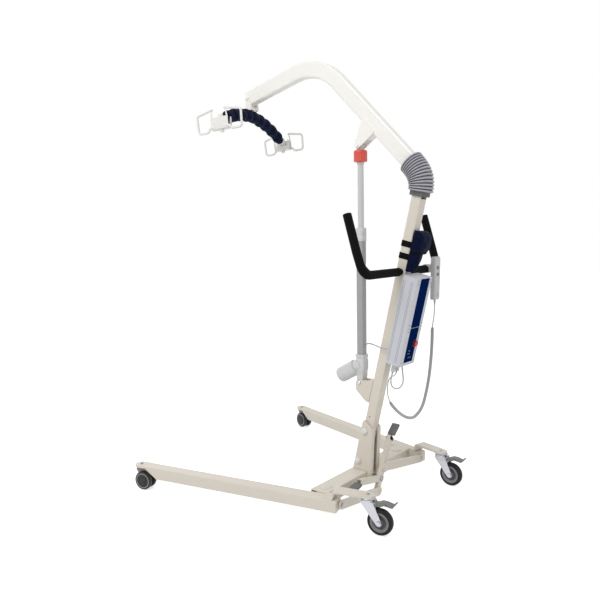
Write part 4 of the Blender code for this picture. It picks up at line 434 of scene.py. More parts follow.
# %% Floor
FLOOR_HALF, FLOOR_DROP, FLOOR_GLOW = 14.0, 0.0005, 0.62
floor_mesh = bpy.data.meshes.new("floor")
floor_mesh.from_pydata([(x * FLOOR_HALF, y * FLOOR_HALF, -FLOOR_DROP)
                        for x, y in ((-1, -1), (1, -1), (1, 1), (-1, 1))], [], [(0, 1, 2, 3)])
floor = bpy.data.objects.new("floor", floor_mesh)
scene.collection.objects.link(floor)
floor_finish = Finish("floor_white", (0.86, 0.86, 0.86), 0.9)
floor_finish.set("Base Color", floor_finish.mix(floor_finish.noise(0.6, 1.0), (0.87, 0.87, 0.87, 1.0),
                                                (0.85, 0.85, 0.85, 1.0)))
floor_finish.set("Emission Color", (1.0, 1.0, 1.0, 1.0))
seen_rays = floor_finish.node("ShaderNodeLightPath", output="Is Camera Ray")
mirrored_rays = floor_finish.node("ShaderNodeLightPath", output="Is Glossy Ray")
floor_finish.set("Emission Strength", (seen_rays + mirrored_rays) * FLOOR_GLOW)
floor_mesh.materials.append(floor_finish.material)

# %% [markdown]
# A few helpers make nearly all meshes. A loft joins outlines into a skin and writes a UV map in metres, so that
# cloth patterns keep their size. Turned shapes, hoops, wires and sleeves are lofts too: only their outlines
# differ. Marks are thin plates that stand just proud of a face.

# %% Mesh helpers
CLEARANCE, MARK_SINK = 0.0003, 0.0002


def add_piece(name, mesh, material, body, angle=38.0):
    mesh.materials.clear()
    mesh.materials.append(material)
    mesh.shade_smooth()
    mesh.set_sharp_from_angle(angle=math.radians(angle))
    piece = bpy.data.objects.new(name, mesh)
    scene.collection.objects.link(piece)
    if body:
        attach(piece, body)
    return piece


def loft_mesh(name, rings, closed=True, round_again=False):
    """Skin over outlines of equal length. Closed outlines are capped, unless the rings meet again."""
    mesh = bpy.data.meshes.new(name)
    work = bmesh.new()
    cloth = work.loops.layers.uv.new("cloth")
    grid = [[work.verts.new(p) for p in ring] for ring in rings]
    across = [0.0]
    widest = max(rings, key=lambda ring: sum((b - a).length for a, b in zip(ring, ring[1:])))
    for a, b in zip(widest, widest[1:] + widest[:1]):
        across.append(across[-1] + (b - a).length)
    along = [0.0]
    for a, b in zip(rings, rings[1:] + rings[:1]):
        step = sum((q - p).length for p, q in zip(a, b)) / len(a)
        along.append(along[-1] + step)
    rows = len(rings) if round_again else len(rings) - 1
    columns = len(rings[0]) if closed else len(rings[0]) - 1
    for i in range(rows):
        for j in range(columns):
            i2, j2 = (i + 1) % len(rings), (j + 1) % len(rings[0])
            face = work.faces.new((grid[i][j], grid[i][j2], grid[i2][j2], grid[i2][j]))
            for loop, (a, b) in zip(face.loops, ((i, j), (i, j + 1), (i + 1, j + 1), (i + 1, j))):
                loop[cloth].uv = (across[b], along[a])
    if closed and not round_again:
        work.faces.new(grid[0][::-1])
        work.faces.new(grid[-1])
    bmesh.ops.remove_doubles(work, verts=work.verts, dist=1e-7)
    bmesh.ops.recalc_face_normals(work, faces=work.faces)
    work.to_mesh(mesh)
    work.free()
    return mesh


def oval(wide, tall, steps):
    return [(wide * math.cos(a), tall * math.sin(a)) for a in (2 * math.pi * k / steps for k in range(steps))]


def circle(radius, steps):
    return oval(radius, radius, steps)


def rounded_square(width, height, radius, steps=5, centre=(0.0, 0.0)):
    outline = []
    for quarter, (sx, sy) in enumerate(((1, 1), (-1, 1), (-1, -1), (1, -1))):
        for k in range(steps + 1):
            angle = math.pi / 2 * (quarter + k / steps)
            outline.append((centre[0] + sx * (width / 2 - radius) + radius * math.cos(angle),
                            centre[1] + sy * (height / 2 - radius) + radius * math.sin(angle)))
    return outline


def spun(profile, place, steps):
    """A profile of (radius, height) points, carried round the Z axis of the matrix place."""
    return [[place @ Vector((u, v, h)) for u, v in circle(r, steps)] for r, h in profile]


def turned_mesh(name, profile, place, steps=48):
    """A turned solid. Where its profile meets the axis it keeps a very small radius."""
    return loft_mesh(name, spun([(max(r, 1e-5), h) for r, h in profile], place, steps))


def hoop_mesh(name, profile, place, steps):
    """A turned hoop, whose profile closes on itself and never meets the axis."""
    return loft_mesh(name, spun(profile, place, steps), round_again=True)


def sections_along(path, outline, side):
    """Outlines square to a path. The outline is a list of points, or a function of the ring's number."""
    rings = []
    for k, here in enumerate(path):
        ahead = (path[min(k + 1, len(path) - 1)] - path[max(k - 1, 0)]).normalized()
        up = ahead.cross(side).normalized()
        across = up.cross(ahead).normalized()
        rings.append([here + across * u + up * v for u, v in (outline(k) if callable(outline) else outline)])
    return rings


def arc_path(points, radius, steps=8):
    """A polyline with each inner corner rounded."""
    path = [points[0]]
    for before, corner, after in zip(points, points[1:], points[2:]):
        back, ahead = (before - corner).normalized(), (after - corner).normalized()
        half = back.angle(ahead) / 2
        reach = min(radius / math.tan(half), 0.45 * (before - corner).length, 0.45 * (after - corner).length)
        bend = reach * math.tan(half)
        centre = corner + (back + ahead).normalized() * (bend / math.sin(half))
        start, end = corner + back * reach - centre, corner + ahead * reach - centre
        total = start.angle(end)
        for k in range(steps + 1):
            share = k / steps
            swing = start * math.sin((1 - share) * total) + end * math.sin(share * total)
            path.append(centre + swing / math.sin(total))
    path.append(points[-1])
    return path


def joined(name, parts, material, body, angle=38.0):
    """Several closed meshes kept as one piece."""
    work = bmesh.new()
    for part in parts:
        work.from_mesh(part)
        bpy.data.meshes.remove(part)
    mesh = bpy.data.meshes.new(name)
    work.to_mesh(mesh)
    work.free()
    return add_piece(name, mesh, material, body, angle)


def prism_mesh(name, outline, low, high, place, across="Z"):
    """A flat outline pushed from low to high along one axis of the matrix place."""
    order = {"Z": lambda u, v, w: (u, v, w), "Y": lambda u, v, w: (u, w, v), "X": lambda u, v, w: (w, u, v)}[across]
    return loft_mesh(name, [[place @ Vector(order(u, v, w)) for u, v in outline] for w in (low, high)])


def marks(name, outlines, face, rise, place, across, material, side=1):
    """Shallow plates on one face of the base, each a flat outline, kept as one piece."""
    plates = [prism_mesh("mark", outline, side * (face - MARK_SINK), side * (face + rise), place, across)
              for outline in outlines]
    return joined(name, plates, material, "base", 30.0)


def finished(mesh, modifiers):
    """The mesh after some modifiers, each given as its type and settings."""
    holder = bpy.data.objects.new("holder", mesh)
    scene.collection.objects.link(holder)
    for kind, settings in modifiers:
        modifier = holder.modifiers.new(kind, kind)
        for key, value in settings.items():
            setattr(modifier, key, value)
    made = bpy.data.meshes.new_from_object(holder.evaluated_get(bpy.context.evaluated_depsgraph_get()))
    made.name = mesh.name
    bpy.data.objects.remove(holder)
    bpy.data.meshes.remove(mesh)
    return made


def refine(piece, levels=1):
    """Gives a piece the mesh that subdivision makes of its own."""
    rough = piece.data
    piece.data = finished(rough.copy(), [("SUBSURF", {"levels": levels, "render_levels": levels})])
    bpy.data.meshes.remove(rough)


def softened(mesh, width, segments=2):
    return finished(mesh, [("BEVEL", {"width": width, "segments": segments, "limit_method": "ANGLE",
                                      "angle_limit": math.radians(40)})])


# %% [markdown]
# Three leads hang on the lift. The curly one runs from the handset down to a plug under the control box, the
# short loop joins the box's other plug to its battery, and a third runs from the box to the actuator.
# Each follows the same route as its solid in the CAD model, as one smooth line through listed points.

# %% Routes of the cords
def smooth_route(points, spacing):
    """Evenly spaced points on a smooth curve through a route."""
    padded = [points[0] * 2 - points[1]] + points + [points[-1] * 2 - points[-2]]
    fine = []
    for a, b, c, d in zip(padded, padded[1:], padded[2:], padded[3:]):
        for k in range(24):
            t = k / 24
            fine.append(0.5 * (2 * b + (c - a) * t + (2 * a - 5 * b + 4 * c - d) * t * t
                               + (3 * b - a - 3 * c + d) * t ** 3))
    fine.append(points[-1])
    lengths = [0.0]
    for a, b in zip(fine, fine[1:]):
        lengths.append(lengths[-1] + (b - a).length)
    count = max(2, round(lengths[-1] / spacing))
    route, k = [], 0
    for step in range(count + 1):
        goal = lengths[-1] * step / count
        while k < len(lengths) - 2 and lengths[k + 1] < goal:
            k += 1
        share = (goal - lengths[k]) / max(lengths[k + 1] - lengths[k], 1e-9)
        route.append(fine[k].lerp(fine[k + 1], share))
    return route


BOX_LOW, BOX_TOP, BOX_BACK, BOX_FRONT, BOX_HALF = 0.408, 0.768, 0.033, 0.100, 0.0615
PLUG_X, PLUG_Y, PLUG_LENGTH = 0.016, 0.053, 0.042
HANDSET_X, HANDSET_Y = middle("handset").x, 0.217
HANDSET_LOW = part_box("handset")[0].z


def on_mast(x, y, z):
    return MAST @ Vector((x, y, z))


def below_plug(x, drop):
    return on_mast(x, PLUG_Y, BOX_LOW - PLUG_LENGTH - CLEARANCE - drop)


HANDSET_ROUTE = [point(HANDSET_X, HANDSET_Y, HANDSET_LOW - CLEARANCE)] + [point(*p) for p in (
    (-0.190, 0.217, 0.800), (-0.188, 0.217, 0.760), (-0.184, 0.213, 0.712), (-0.181, 0.214, 0.656),
    (-0.174, 0.215, 0.585), (-0.160, 0.212, 0.486), (-0.138, 0.200, 0.385), (-0.116, 0.178, 0.338),
    (-0.100, 0.158, 0.330), (-0.086, 0.134, 0.340), (-0.072, 0.110, 0.363), (-0.060, 0.092, 0.390),
    (-0.051, 0.084, 0.421), (-0.045, 0.084, 0.448), (-0.037, 0.093, 0.490), (-0.030, 0.110, 0.512),
    (-0.022, 0.128, 0.520))] + [below_plug(-PLUG_X, 0.012), below_plug(-PLUG_X, 0.0)]
LEAD_ROUTE = [below_plug(PLUG_X, 0.0), below_plug(PLUG_X, 0.012)] + [point(*p) for p in (
    (0.014, 0.134, 0.505), (0.008, 0.138, 0.482), (-0.001, 0.152, 0.474), (-0.008, 0.168, 0.484),
    (-0.012, 0.176, 0.510))] + [on_mast(-0.012, BOX_BACK + 0.040, BOX_LOW - CLEARANCE - 0.012),
                                on_mast(-0.012, BOX_BACK + 0.040, BOX_LOW - CLEARANCE)]
TUBE_SIDE, CABLE_HEIGHT = 0.031, 0.640
CABLE_START = ACTUATOR @ Vector((0.0, TUBE_SIDE / 2 + CLEARANCE * 1.5, 0.0))
CABLE_START = CABLE_START + joint_axis("rod_slide") * ((CABLE_HEIGHT - CABLE_START.z) / joint_axis("rod_slide").z)
MOTOR_ROUTE = [CABLE_START, CABLE_START + Vector((0.0, 0.007, 0.0005))] + [point(*p) for p in (
    (0.008, 0.020, 0.646), (0.024, 0.048, 0.649), (0.042, 0.085, 0.647), (0.048, 0.112, 0.643))] + [
    on_mast(0.045, BOX_BACK - CLEARANCE - 0.008, 0.457), on_mast(0.045, BOX_BACK - CLEARANCE, 0.457)]


# %% [markdown]
# A curly cord is one wire wound on a rod and let go: a straight lead, a helix, and a straight lead again. The
# helix follows the route's smooth line, and grows to its full width over the first turn and a half. Its 116
# turns lie side by side, as the dense coil in the photograph does. They stand clear of each other where the
# route is fairly straight. Inside its tightest bend, below the box, they press into each other by up to 0.7 mm.

# %% Curly cord
CURL_START, CURL_END = 0.115, 0.640
CURLS, POINTS_PER_CURL = 116, 14
CURL_RADIUS, CURL_WIRE = 0.0050, 0.0022


def curled(route, spacing):
    """Points of the wire: straight, coiled between two distances along the route, then straight."""
    points = []
    start, end = round(CURL_START / spacing), round(CURL_END / spacing)
    points += route[:start:6]
    total = CURLS * POINTS_PER_CURL
    for k in range(total + 1):
        share = k / total
        place = start + (end - start) * share
        i = int(place)
        here = route[i].lerp(route[i + 1], place - i)
        ahead = (route[i + 2] - route[i - 1]).normalized()
        out = ahead.cross(Vector((0.8, -0.6, 0.0))).normalized()
        over = ahead.cross(out)
        angle = 2 * math.pi * k / POINTS_PER_CURL
        grow = min(1.0, share * CURLS / 1.5, (1 - share) * CURLS / 1.5)
        points.append(here + (out * math.cos(angle) + over * math.sin(angle)) * CURL_RADIUS * grow)
    return points + route[end + 6::6] + [route[-1]]


def path_length(points):
    return sum((b - a).length for a, b in zip(points, points[1:]))


def cord_piece(name, points, radius, node, body):
    """A cord as a filled tube on a poly line."""
    curve = bpy.data.curves.new(name, "CURVE")
    curve.dimensions = "3D"
    curve.bevel_depth = radius
    curve.bevel_resolution = 3
    curve.use_fill_caps = True
    line = curve.splines.new("POLY")
    line.points.add(len(points) - 1)
    for spot, place in zip(line.points, points):
        spot.co = (*place, 1.0)
    line.use_smooth = True
    curve.materials.append(cord_vinyl)
    piece = bpy.data.objects.new(name, curve)
    scene.collection.objects.link(piece)
    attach(piece, body)
    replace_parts(piece, node)
    length = path_length(points)
    print(name, "length", round(length, 3))
    return piece, length


def relief(name, tip, away, length, wide, narrow, body):
    """A tapered strain relief with moulded grooves, from a housing out along a cord."""
    place = frame_from(tip, away, (1, 0, 0) if abs(Vector(away).normalized().x) < 0.9 else (0, 1, 0))
    profile = [(wide * 0.6, -0.001), (wide, 0.0)]
    for k in range(1, 6):
        z = length * k / 6
        r = wide + (narrow - wide) * k / 6
        profile += [(r, z - 0.0007), (r - 0.0006, z - 0.0004), (r - 0.0006, z + 0.0004), (r, z + 0.0007)]
    profile += [(narrow, length), (narrow * 0.5, length)]
    return add_piece(name, turned_mesh(name, profile, place, 20), cord_vinyl, body, 60.0)


ROUTE_STEP = 0.0008
curly_points = curled(smooth_route(HANDSET_ROUTE, ROUTE_STEP), ROUTE_STEP)
curly, curly_length = cord_piece("curly_cord", curly_points, CURL_WIRE, "handset_cord", "base")
handset_relief = relief("handset_relief", HANDSET_ROUTE[0], (0, 0, -1), 0.024, 0.0052, 0.0026, "base")
plug_relief = relief("plug_relief", HANDSET_ROUTE[-1], HANDSET_ROUTE[-2] - HANDSET_ROUTE[-1], 0.012, 0.0050, 0.0026,
                     "base")

LEAD_RADIUS = 0.0030
lead_points = smooth_route(LEAD_ROUTE, 0.006)
lead, lead_length = cord_piece("battery_lead", lead_points, LEAD_RADIUS, "box_lead", "base")
lead_relief = relief("lead_relief", LEAD_ROUTE[0], LEAD_ROUTE[1] - LEAD_ROUTE[0], 0.012, 0.0050, 0.0026, "base")

cable_points = smooth_route(MOTOR_ROUTE, 0.006)
cable, cable_length = cord_piece("motor_lead", cable_points, LEAD_RADIUS, "motor_cable", "base")

# %% [markdown]
# What repeats is left to Geometry Nodes. Each tree is built here from a short list of nodes, with named inputs
# for its sizes. A tree runs once, on a holder object, and its result is kept as a plain mesh.

# %% Geometry Nodes helpers
KINDS = {"Float": "NodeSocketFloat", "Int": "NodeSocketInt", "Material": "NodeSocketMaterial",
         "Object": "NodeSocketObject"}


def new_tree(name, sizes):
    """A geometry tree with its group input and output. sizes maps each named input to its kind."""
    tree = bpy.data.node_groups.new(name, "GeometryNodeTree")
    tree.interface.new_socket("Geometry", in_out="INPUT", socket_type="NodeSocketGeometry")
    tree.interface.new_socket("Geometry", in_out="OUTPUT", socket_type="NodeSocketGeometry")
    for label, kind in sizes.items():
        tree.interface.new_socket(label, in_out="INPUT", socket_type=KINDS[kind])
    return tree, tree.nodes.new("NodeGroupInput"), tree.nodes.new("NodeGroupOutput")


def tree_node(tree, kind, values=None, settings=None):
    """A node whose inputs are values or other nodes' sockets."""
    made = tree.nodes.new(kind)
    for key, value in (settings or {}).items():
        setattr(made, key, value)
    for key, value in (values or {}).items():
        if isinstance(value, bpy.types.NodeSocket):
            tree.links.new(value, made.inputs[key])
        else:
            made.inputs[key].default_value = value
    return made


def tree_maths(tree, operation, *values):
    return tree_node(tree, "ShaderNodeMath", dict(enumerate(values)), {"operation": operation}).outputs[0]


def run_tree(tree, holder, sizes):
    """Runs the tree on the holder object and returns the result as a plain mesh."""
    modifier = holder.modifiers.new(tree.name, "NODES")
    modifier.node_group = tree
    for item in tree.interface.items_tree:
        if item.in_out == "INPUT" and item.name in sizes:
            modifier[item.identifier] = sizes[item.name]
    mesh = bpy.data.meshes.new_from_object(holder.evaluated_get(bpy.context.evaluated_depsgraph_get()))
    holder.modifiers.remove(modifier)
    bpy.data.objects.remove(holder)
    return mesh


def curve_holder(points, cyclic=False):
    curve = bpy.data.curves.new("holder", "CURVE")
    curve.dimensions = "3D"
    line = curve.splines.new("POLY")
    line.points.add(len(points) - 1)
    for spot, place in zip(line.points, points):
        spot.co = (*place, 1.0)
    line.use_cyclic_u = cyclic
    holder = bpy.data.objects.new("holder", curve)
    scene.collection.objects.link(holder)
    return holder


# %% [markdown]
# The boot over the boom's hinge is a moulded concertina: full, round ridges with narrow grooves. Its shape is
# a rule, so a tree makes it. The size of sin(pi n t) along the centre line is a row of arches, which is the
# ridge's section, and it drives the radius of a tube swept along the curve.

# %% Ribbed boot tree
def boot_tree():
    tree, given, result = new_tree("ribbed_boot", {"Radius": "Float", "Groove": "Float", "Ridges": "Int",
                                                   "Rings": "Int", "Sides": "Int", "Material": "Material"})
    rings = tree_node(tree, "GeometryNodeResampleCurve", {"Curve": given.outputs["Geometry"],
                                                          "Count": given.outputs["Rings"]})
    along = tree.nodes.new("GeometryNodeSplineParameter").outputs["Factor"]
    phase = tree_maths(tree, "MULTIPLY", tree_maths(tree, "MULTIPLY", along, given.outputs["Ridges"]), math.pi)
    arch = tree_maths(tree, "POWER", tree_maths(tree, "ABSOLUTE", tree_maths(tree, "SINE", phase)), 0.8)
    hollow = tree_maths(tree, "MULTIPLY", tree_maths(tree, "SUBTRACT", 1.0, arch), given.outputs["Groove"])
    radius = tree_maths(tree, "SUBTRACT", given.outputs["Radius"], hollow)
    creased = tree_node(tree, "GeometryNodeStoreNamedAttribute", {
        "Geometry": rings.outputs["Curve"], "Name": "crease", "Value": tree_maths(tree, "SUBTRACT", 1.0, arch)},
        {"data_type": "FLOAT", "domain": "POINT"})
    wide = tree_node(tree, "GeometryNodeSetCurveRadius", {"Curve": creased.outputs["Geometry"], "Radius": radius})
    ring = tree_node(tree, "GeometryNodeCurvePrimitiveCircle", {"Resolution": given.outputs["Sides"], "Radius": 1.0})
    sweep = tree_node(tree, "GeometryNodeCurveToMesh", {"Curve": wide.outputs["Curve"],
                                                        "Profile Curve": ring.outputs["Curve"], "Fill Caps": True})
    if "Scale" in sweep.inputs:
        tree.links.new(tree_node(tree, "GeometryNodeInputRadius").outputs[0], sweep.inputs["Scale"])
    real = tree_node(tree, "GeometryNodeRealizeInstances", {"Geometry": sweep.outputs["Mesh"]})
    painted = tree_node(tree, "GeometryNodeSetMaterial", {"Geometry": real.outputs["Geometry"],
                                                          "Material": given.outputs["Material"]})
    tree.links.new(painted.outputs["Geometry"], result.inputs["Geometry"])
    return tree


MAST_UP = MAST.to_3x3() @ Vector((0, 0, 1))
BOOM_JOIN = point(0.0, 0.196, 1.377)
BOOM_OUT = Vector((0.0, -1.0, 1.0)).normalized()
BOOT_FOOT, CUFF_HEIGHT, CUFF_WALL, BELLOWS_REACH = 1.243, 0.018, 0.009, 0.052
BELLOWS_RADIUS, BELLOWS_GROOVE, BELLOWS_RIDGES = 0.050, 0.0070, 14
MAST_WIDTH, MAST_DEPTH = 0.050, 0.042


def mast_at_height(z):
    return MAST_FOOT + MAST_UP * ((z - MAST_FOOT.z) / MAST_UP.z)


def bezier(a, b, c, d, count):
    return [a * (1 - t) ** 3 + b * 3 * t * (1 - t) ** 2 + c * 3 * t * t * (1 - t) + d * t ** 3
            for t in (k / count for k in range(count + 1))]


boot_low = mast_at_height(BOOT_FOOT + CUFF_HEIGHT)
boot_line = bezier(boot_low, boot_low + MAST_UP * BELLOWS_REACH, BOOM_JOIN - BOOM_OUT * BELLOWS_REACH, BOOM_JOIN,
                   60)
boot_mesh = run_tree(boot_tree(), curve_holder(boot_line),
                     {"Radius": BELLOWS_RADIUS, "Groove": BELLOWS_GROOVE, "Ridges": BELLOWS_RIDGES,
                      "Rings": BELLOWS_RIDGES * 12 + 1, "Sides": 56, "Material": boot_rubber})
boot = add_piece("hinge_boot", boot_mesh, boot_rubber, None, 80.0)
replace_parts(boot, "bellows")
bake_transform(boot)

cuff_outline = rounded_square(MAST_WIDTH + 2 * (CLEARANCE + CUFF_WALL), MAST_DEPTH + 2 * (CLEARANCE + CUFF_WALL),
                              0.010)
cuff_rings = [[boot_low + MAST_UP * z + (MAST.to_3x3() @ Vector((u * s, v * s, 0))) for u, v in cuff_outline]
              for z, s in ((-CUFF_HEIGHT, 0.97), (-CUFF_HEIGHT + 0.002, 1.0), (-0.009, 1.0), (-0.008, 0.985),
                           (-0.006, 0.985), (-0.005, 1.0), (0.001, 1.0), (0.004, 0.96))]
add_piece("boot_cuff", loft_mesh("boot_cuff", cuff_rings), cuff_rubber, "base", 50.0)
print("boot triangles", len(boot_mesh.polygons) * 2)

# %% [markdown]
# Stitches, and anything else that follows a line, come from one tree: points at an even spacing on a curve,
# each with the same small item turned along the line. Screws need a free choice of places, so a second tree
# puts an item on every point of a mesh, turned to that point's own normal.

# %% Stitch and screw trees
def stitch_tree():
    tree, given, result = new_tree("stitch_row", {"Spacing": "Float", "Item": "Object", "Material": "Material"})
    spots = tree_node(tree, "GeometryNodeCurveToPoints", {"Curve": given.outputs["Geometry"],
                                                          "Length": given.outputs["Spacing"]}, {"mode": "LENGTH"})
    item = tree_node(tree, "GeometryNodeObjectInfo", {"Object": given.outputs["Item"]})
    row = tree_node(tree, "GeometryNodeInstanceOnPoints", {"Points": spots.outputs["Points"],
                                                           "Instance": item.outputs["Geometry"],
                                                           "Rotation": spots.outputs["Rotation"]})
    return close_tree(tree, given, result, row)


def screw_tree():
    tree, given, result = new_tree("screws", {"Item": "Object", "Material": "Material"})
    facing = tree_node(tree, "GeometryNodeInputNamedAttribute", {"Name": "facing"}, {"data_type": "FLOAT_VECTOR"})
    turn = tree_node(tree, "FunctionNodeAlignRotationToVector", {"Vector": facing.outputs["Attribute"]}, {"axis": "Z"})
    item = tree_node(tree, "GeometryNodeObjectInfo", {"Object": given.outputs["Item"]})
    spots = tree_node(tree, "GeometryNodeInstanceOnPoints", {"Points": given.outputs["Geometry"],
                                                             "Instance": item.outputs["Geometry"],
                                                             "Rotation": turn.outputs["Rotation"]})
    return close_tree(tree, given, result, spots)


def close_tree(tree, given, result, last):
    real = tree_node(tree, "GeometryNodeRealizeInstances", {"Geometry": last.outputs["Instances"]})
    painted = tree_node(tree, "GeometryNodeSetMaterial", {"Geometry": real.outputs["Geometry"],
                                                          "Material": given.outputs["Material"]})
    tree.links.new(painted.outputs["Geometry"], result.inputs["Geometry"])
    return tree


def item_object(mesh):
    item = bpy.data.objects.new("item", mesh)
    scene.collection.objects.link(item)
    return item


def stitched(name, points, body, item, spacing=0.0042, cyclic=False):
    mesh = run_tree(STITCHES, curve_holder(points, cyclic),
                    {"Spacing": spacing, "Item": item, "Material": thread_navy})
    return add_piece(name, mesh, thread_navy, body, 80.0)


def screws(name, places, body, item, material):
    """Screw heads at (place, facing) pairs."""
    mesh = bpy.data.meshes.new("spots")
    mesh.from_pydata([place for place, _ in places], [], [])
    facing = mesh.attributes.new("facing", "FLOAT_VECTOR", "POINT")
    for spot, (_, normal) in zip(facing.data, places):
        spot.vector = normal
    holder = bpy.data.objects.new("holder", mesh)
    scene.collection.objects.link(holder)
    return add_piece(name, run_tree(SCREWS, holder, {"Item": item, "Material": material}), material, body)


STITCHES, SCREWS = stitch_tree(), screw_tree()
THREAD_LENGTH, THREAD_RADIUS = 0.0028, 0.00045
stitch_item = item_object(turned_mesh("stitch", [(0.0002, -THREAD_LENGTH / 2), (THREAD_RADIUS, -THREAD_LENGTH / 3),
                                                 (THREAD_RADIUS, THREAD_LENGTH / 3), (0.0002, THREAD_LENGTH / 2)],
                                      WORLD, 6))
SCREW_RADIUS = 0.0034
screw_profile = [(SCREW_RADIUS, -0.0008), (SCREW_RADIUS, 0.0008), (SCREW_RADIUS * 0.86, 0.0016),
                 (SCREW_RADIUS * 0.42, 0.0019), (SCREW_RADIUS * 0.36, 0.0010), (0.0, 0.0006)]
screw_item = item_object(turned_mesh("screw", screw_profile, WORLD, 20))

# %% [markdown]
# The cradle's bar wears a quilted nylon sleeve: padding between sewn channels. The sleeve is lofted along the
# gull curve of the bar, then swollen as cloth by Blender's own simulation. Points on the channels, the ends
# and the top seam are pinned, so the cloth balloons and puckers between them as padding does.

# %% Cloth helper
def swollen(piece, pinned, pressure, cap, frames=18):
    """The piece's mesh after some frames of cloth under pressure, with no point moved more than the cap."""
    group = piece.vertex_groups.new(name="pinned")
    group.add(pinned, 1.0, "REPLACE")
    modifier = piece.modifiers.new("cloth", "CLOTH")
    settings = modifier.settings
    settings.quality = 6
    settings.mass = 0.15
    settings.tension_stiffness = settings.compression_stiffness = 18.0
    settings.shear_stiffness = 6.0
    settings.bending_stiffness = 0.35
    settings.use_pressure = True
    settings.uniform_pressure_force = pressure
    settings.shrink_min = -0.07
    settings.vertex_group_mass = "pinned"
    settings.effector_weights.gravity = 0.0
    for step in range(1, frames + 1):
        scene.frame_set(step)
    swelled = piece.evaluated_get(bpy.context.evaluated_depsgraph_get()).data
    moved = [v.co.copy() for v in swelled.vertices]
    piece.modifiers.remove(modifier)
    piece.vertex_groups.remove(group)
    furthest = 0.0
    for vertex, there in zip(piece.data.vertices, moved):
        step = there - vertex.co
        furthest = max(furthest, step.length)
        vertex.co = vertex.co + (step * (cap / step.length) if step.length > cap else step)
    scene.frame_set(1)
    print(piece.name, "swelled by up to", round(furthest * 1000, 1), "mm, capped at", round(cap * 1000, 1))


def creased(piece, size, depth, stretch, held):
    """Soft folds: each point moves along its normal by ridged noise, drawn out along one direction."""
    fixed = set(held)
    normals = [v.normal.copy() for v in piece.data.vertices]
    for vertex, normal in zip(piece.data.vertices, normals):
        if vertex.index in fixed:
            continue
        place = vertex.co.copy()
        place -= stretch * place.dot(stretch) * 0.65
        ridge = noise.noise(place / size) + 0.5 * noise.noise(place / size * 2.1)
        vertex.co -= normal * depth * (0.35 + 0.65 * (1.0 - min(abs(ridge) * 2.4, 1.0)) ** 2)
    piece.data.update()


# %% Quilted sleeve of the bar
BAR_HALF, BAR_DROP, BAR_END_DROOP = 0.312, 0.085, 0.073
SLEEVE_HALF = BAR_HALF - 0.026
SLEEVE_WIDE, SLEEVE_TALL = 0.0205, 0.0255
CHANNELS, RINGS_PER_CHANNEL, SLEEVE_SIDES = 9, 12, 40


def bar_height(x):
    return -BAR_DROP - BAR_END_DROOP * min(abs(x) / BAR_HALF, 1.2) ** 1.9


sleeve_count = CHANNELS * RINGS_PER_CHANNEL
sleeve_line = [Vector((SLEEVE_HALF * (2 * k / sleeve_count - 1), 0.0,
                       bar_height(SLEEVE_HALF * (2 * k / sleeve_count - 1)))) for k in range(sleeve_count + 1)]


def sleeve_outline(k):
    crown = abs(math.sin(math.pi * k / RINGS_PER_CHANNEL)) ** 0.55
    ends = min(k, sleeve_count - k)
    taper = 1.0 - 0.34 * (1 - min(ends / 7, 1.0)) ** 2
    wide, tall = (SLEEVE_WIDE - 0.0020 + 0.0055 * crown) * taper, (SLEEVE_TALL - 0.0025 + 0.0060 * crown) * taper
    return [(wide * math.cos(a), tall * math.sin(a) * (1.0 - 0.05 * math.cos(4 * a)))
            for a in (2 * math.pi * j / SLEEVE_SIDES for j in range(SLEEVE_SIDES))]


CRADLE_SIDE = CRADLE.to_3x3() @ Vector((0, 1, 0))
sleeve_rings = sections_along([CRADLE @ p for p in sleeve_line], sleeve_outline, CRADLE_SIDE)
sleeve = add_piece("bar_sleeve", loft_mesh("bar_sleeve", sleeve_rings), navy_nylon, None, 80.0)
TOP_SEAM = SLEEVE_SIDES // 4
pinned = [k * SLEEVE_SIDES + j for k in range(sleeve_count + 1) for j in range(SLEEVE_SIDES)
          if k % RINGS_PER_CHANNEL == 0 or j == TOP_SEAM or k in (0, sleeve_count)]
swollen(sleeve, pinned, 5.0, 0.0045)
creased(sleeve, 0.020, 0.0022, CRADLE.to_3x3() @ Vector((0, 0, 1)), pinned)
sleeve_points = [v.co.copy() for v in sleeve.data.vertices]
refine(sleeve)
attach(sleeve, "cradle")
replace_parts(sleeve, "bar_cover")

# %% [markdown]
# A black edging covers the sleeve's top seam, with a row of stitches on each side of it, and a band of the same
# tape closes each end round the bar.

# %% Sleeve trimmings
def ring_point(rings, k, j, lift):
    """A point of a ring, lifted off the skin along the line from the ring's middle."""
    centre = sum(rings[k], Vector()) / len(rings[k])
    return rings[k][j] + (rings[k][j] - centre).normalized() * lift


def as_rings(points, sides):
    return [points[k:k + sides] for k in range(0, len(points), sides)]


sleeve_skin = as_rings(sleeve_points, SLEEVE_SIDES)
edging_line = [ring_point(sleeve_skin, k, TOP_SEAM, 0.0006) for k in range(2, sleeve_count - 1)]
TAPE, BINDING = oval(0.0045, 0.0020, 12), oval(0.0012, 0.0050, 10)
add_piece("sleeve_edging", loft_mesh("sleeve_edging", sections_along(edging_line, TAPE, CRADLE_SIDE)),
          strap_webbing, "cradle", 80.0)
for label, column in (("front", TOP_SEAM - 2), ("rear", TOP_SEAM + 2)):
    line = [ring_point(sleeve_skin, k, column, 0.0003) for k in range(2, sleeve_count - 1)]
    stitched("sleeve_stitches_" + label, line, "cradle", stitch_item)
for number, k in enumerate(range(RINGS_PER_CHANNEL, sleeve_count, RINGS_PER_CHANNEL)):
    line = [ring_point(sleeve_skin, k, j, 0.0001) for j in range(SLEEVE_SIDES)]
    stitched("channel_stitches_%d" % number, line, "cradle", stitch_item, 0.0046, cyclic=True)
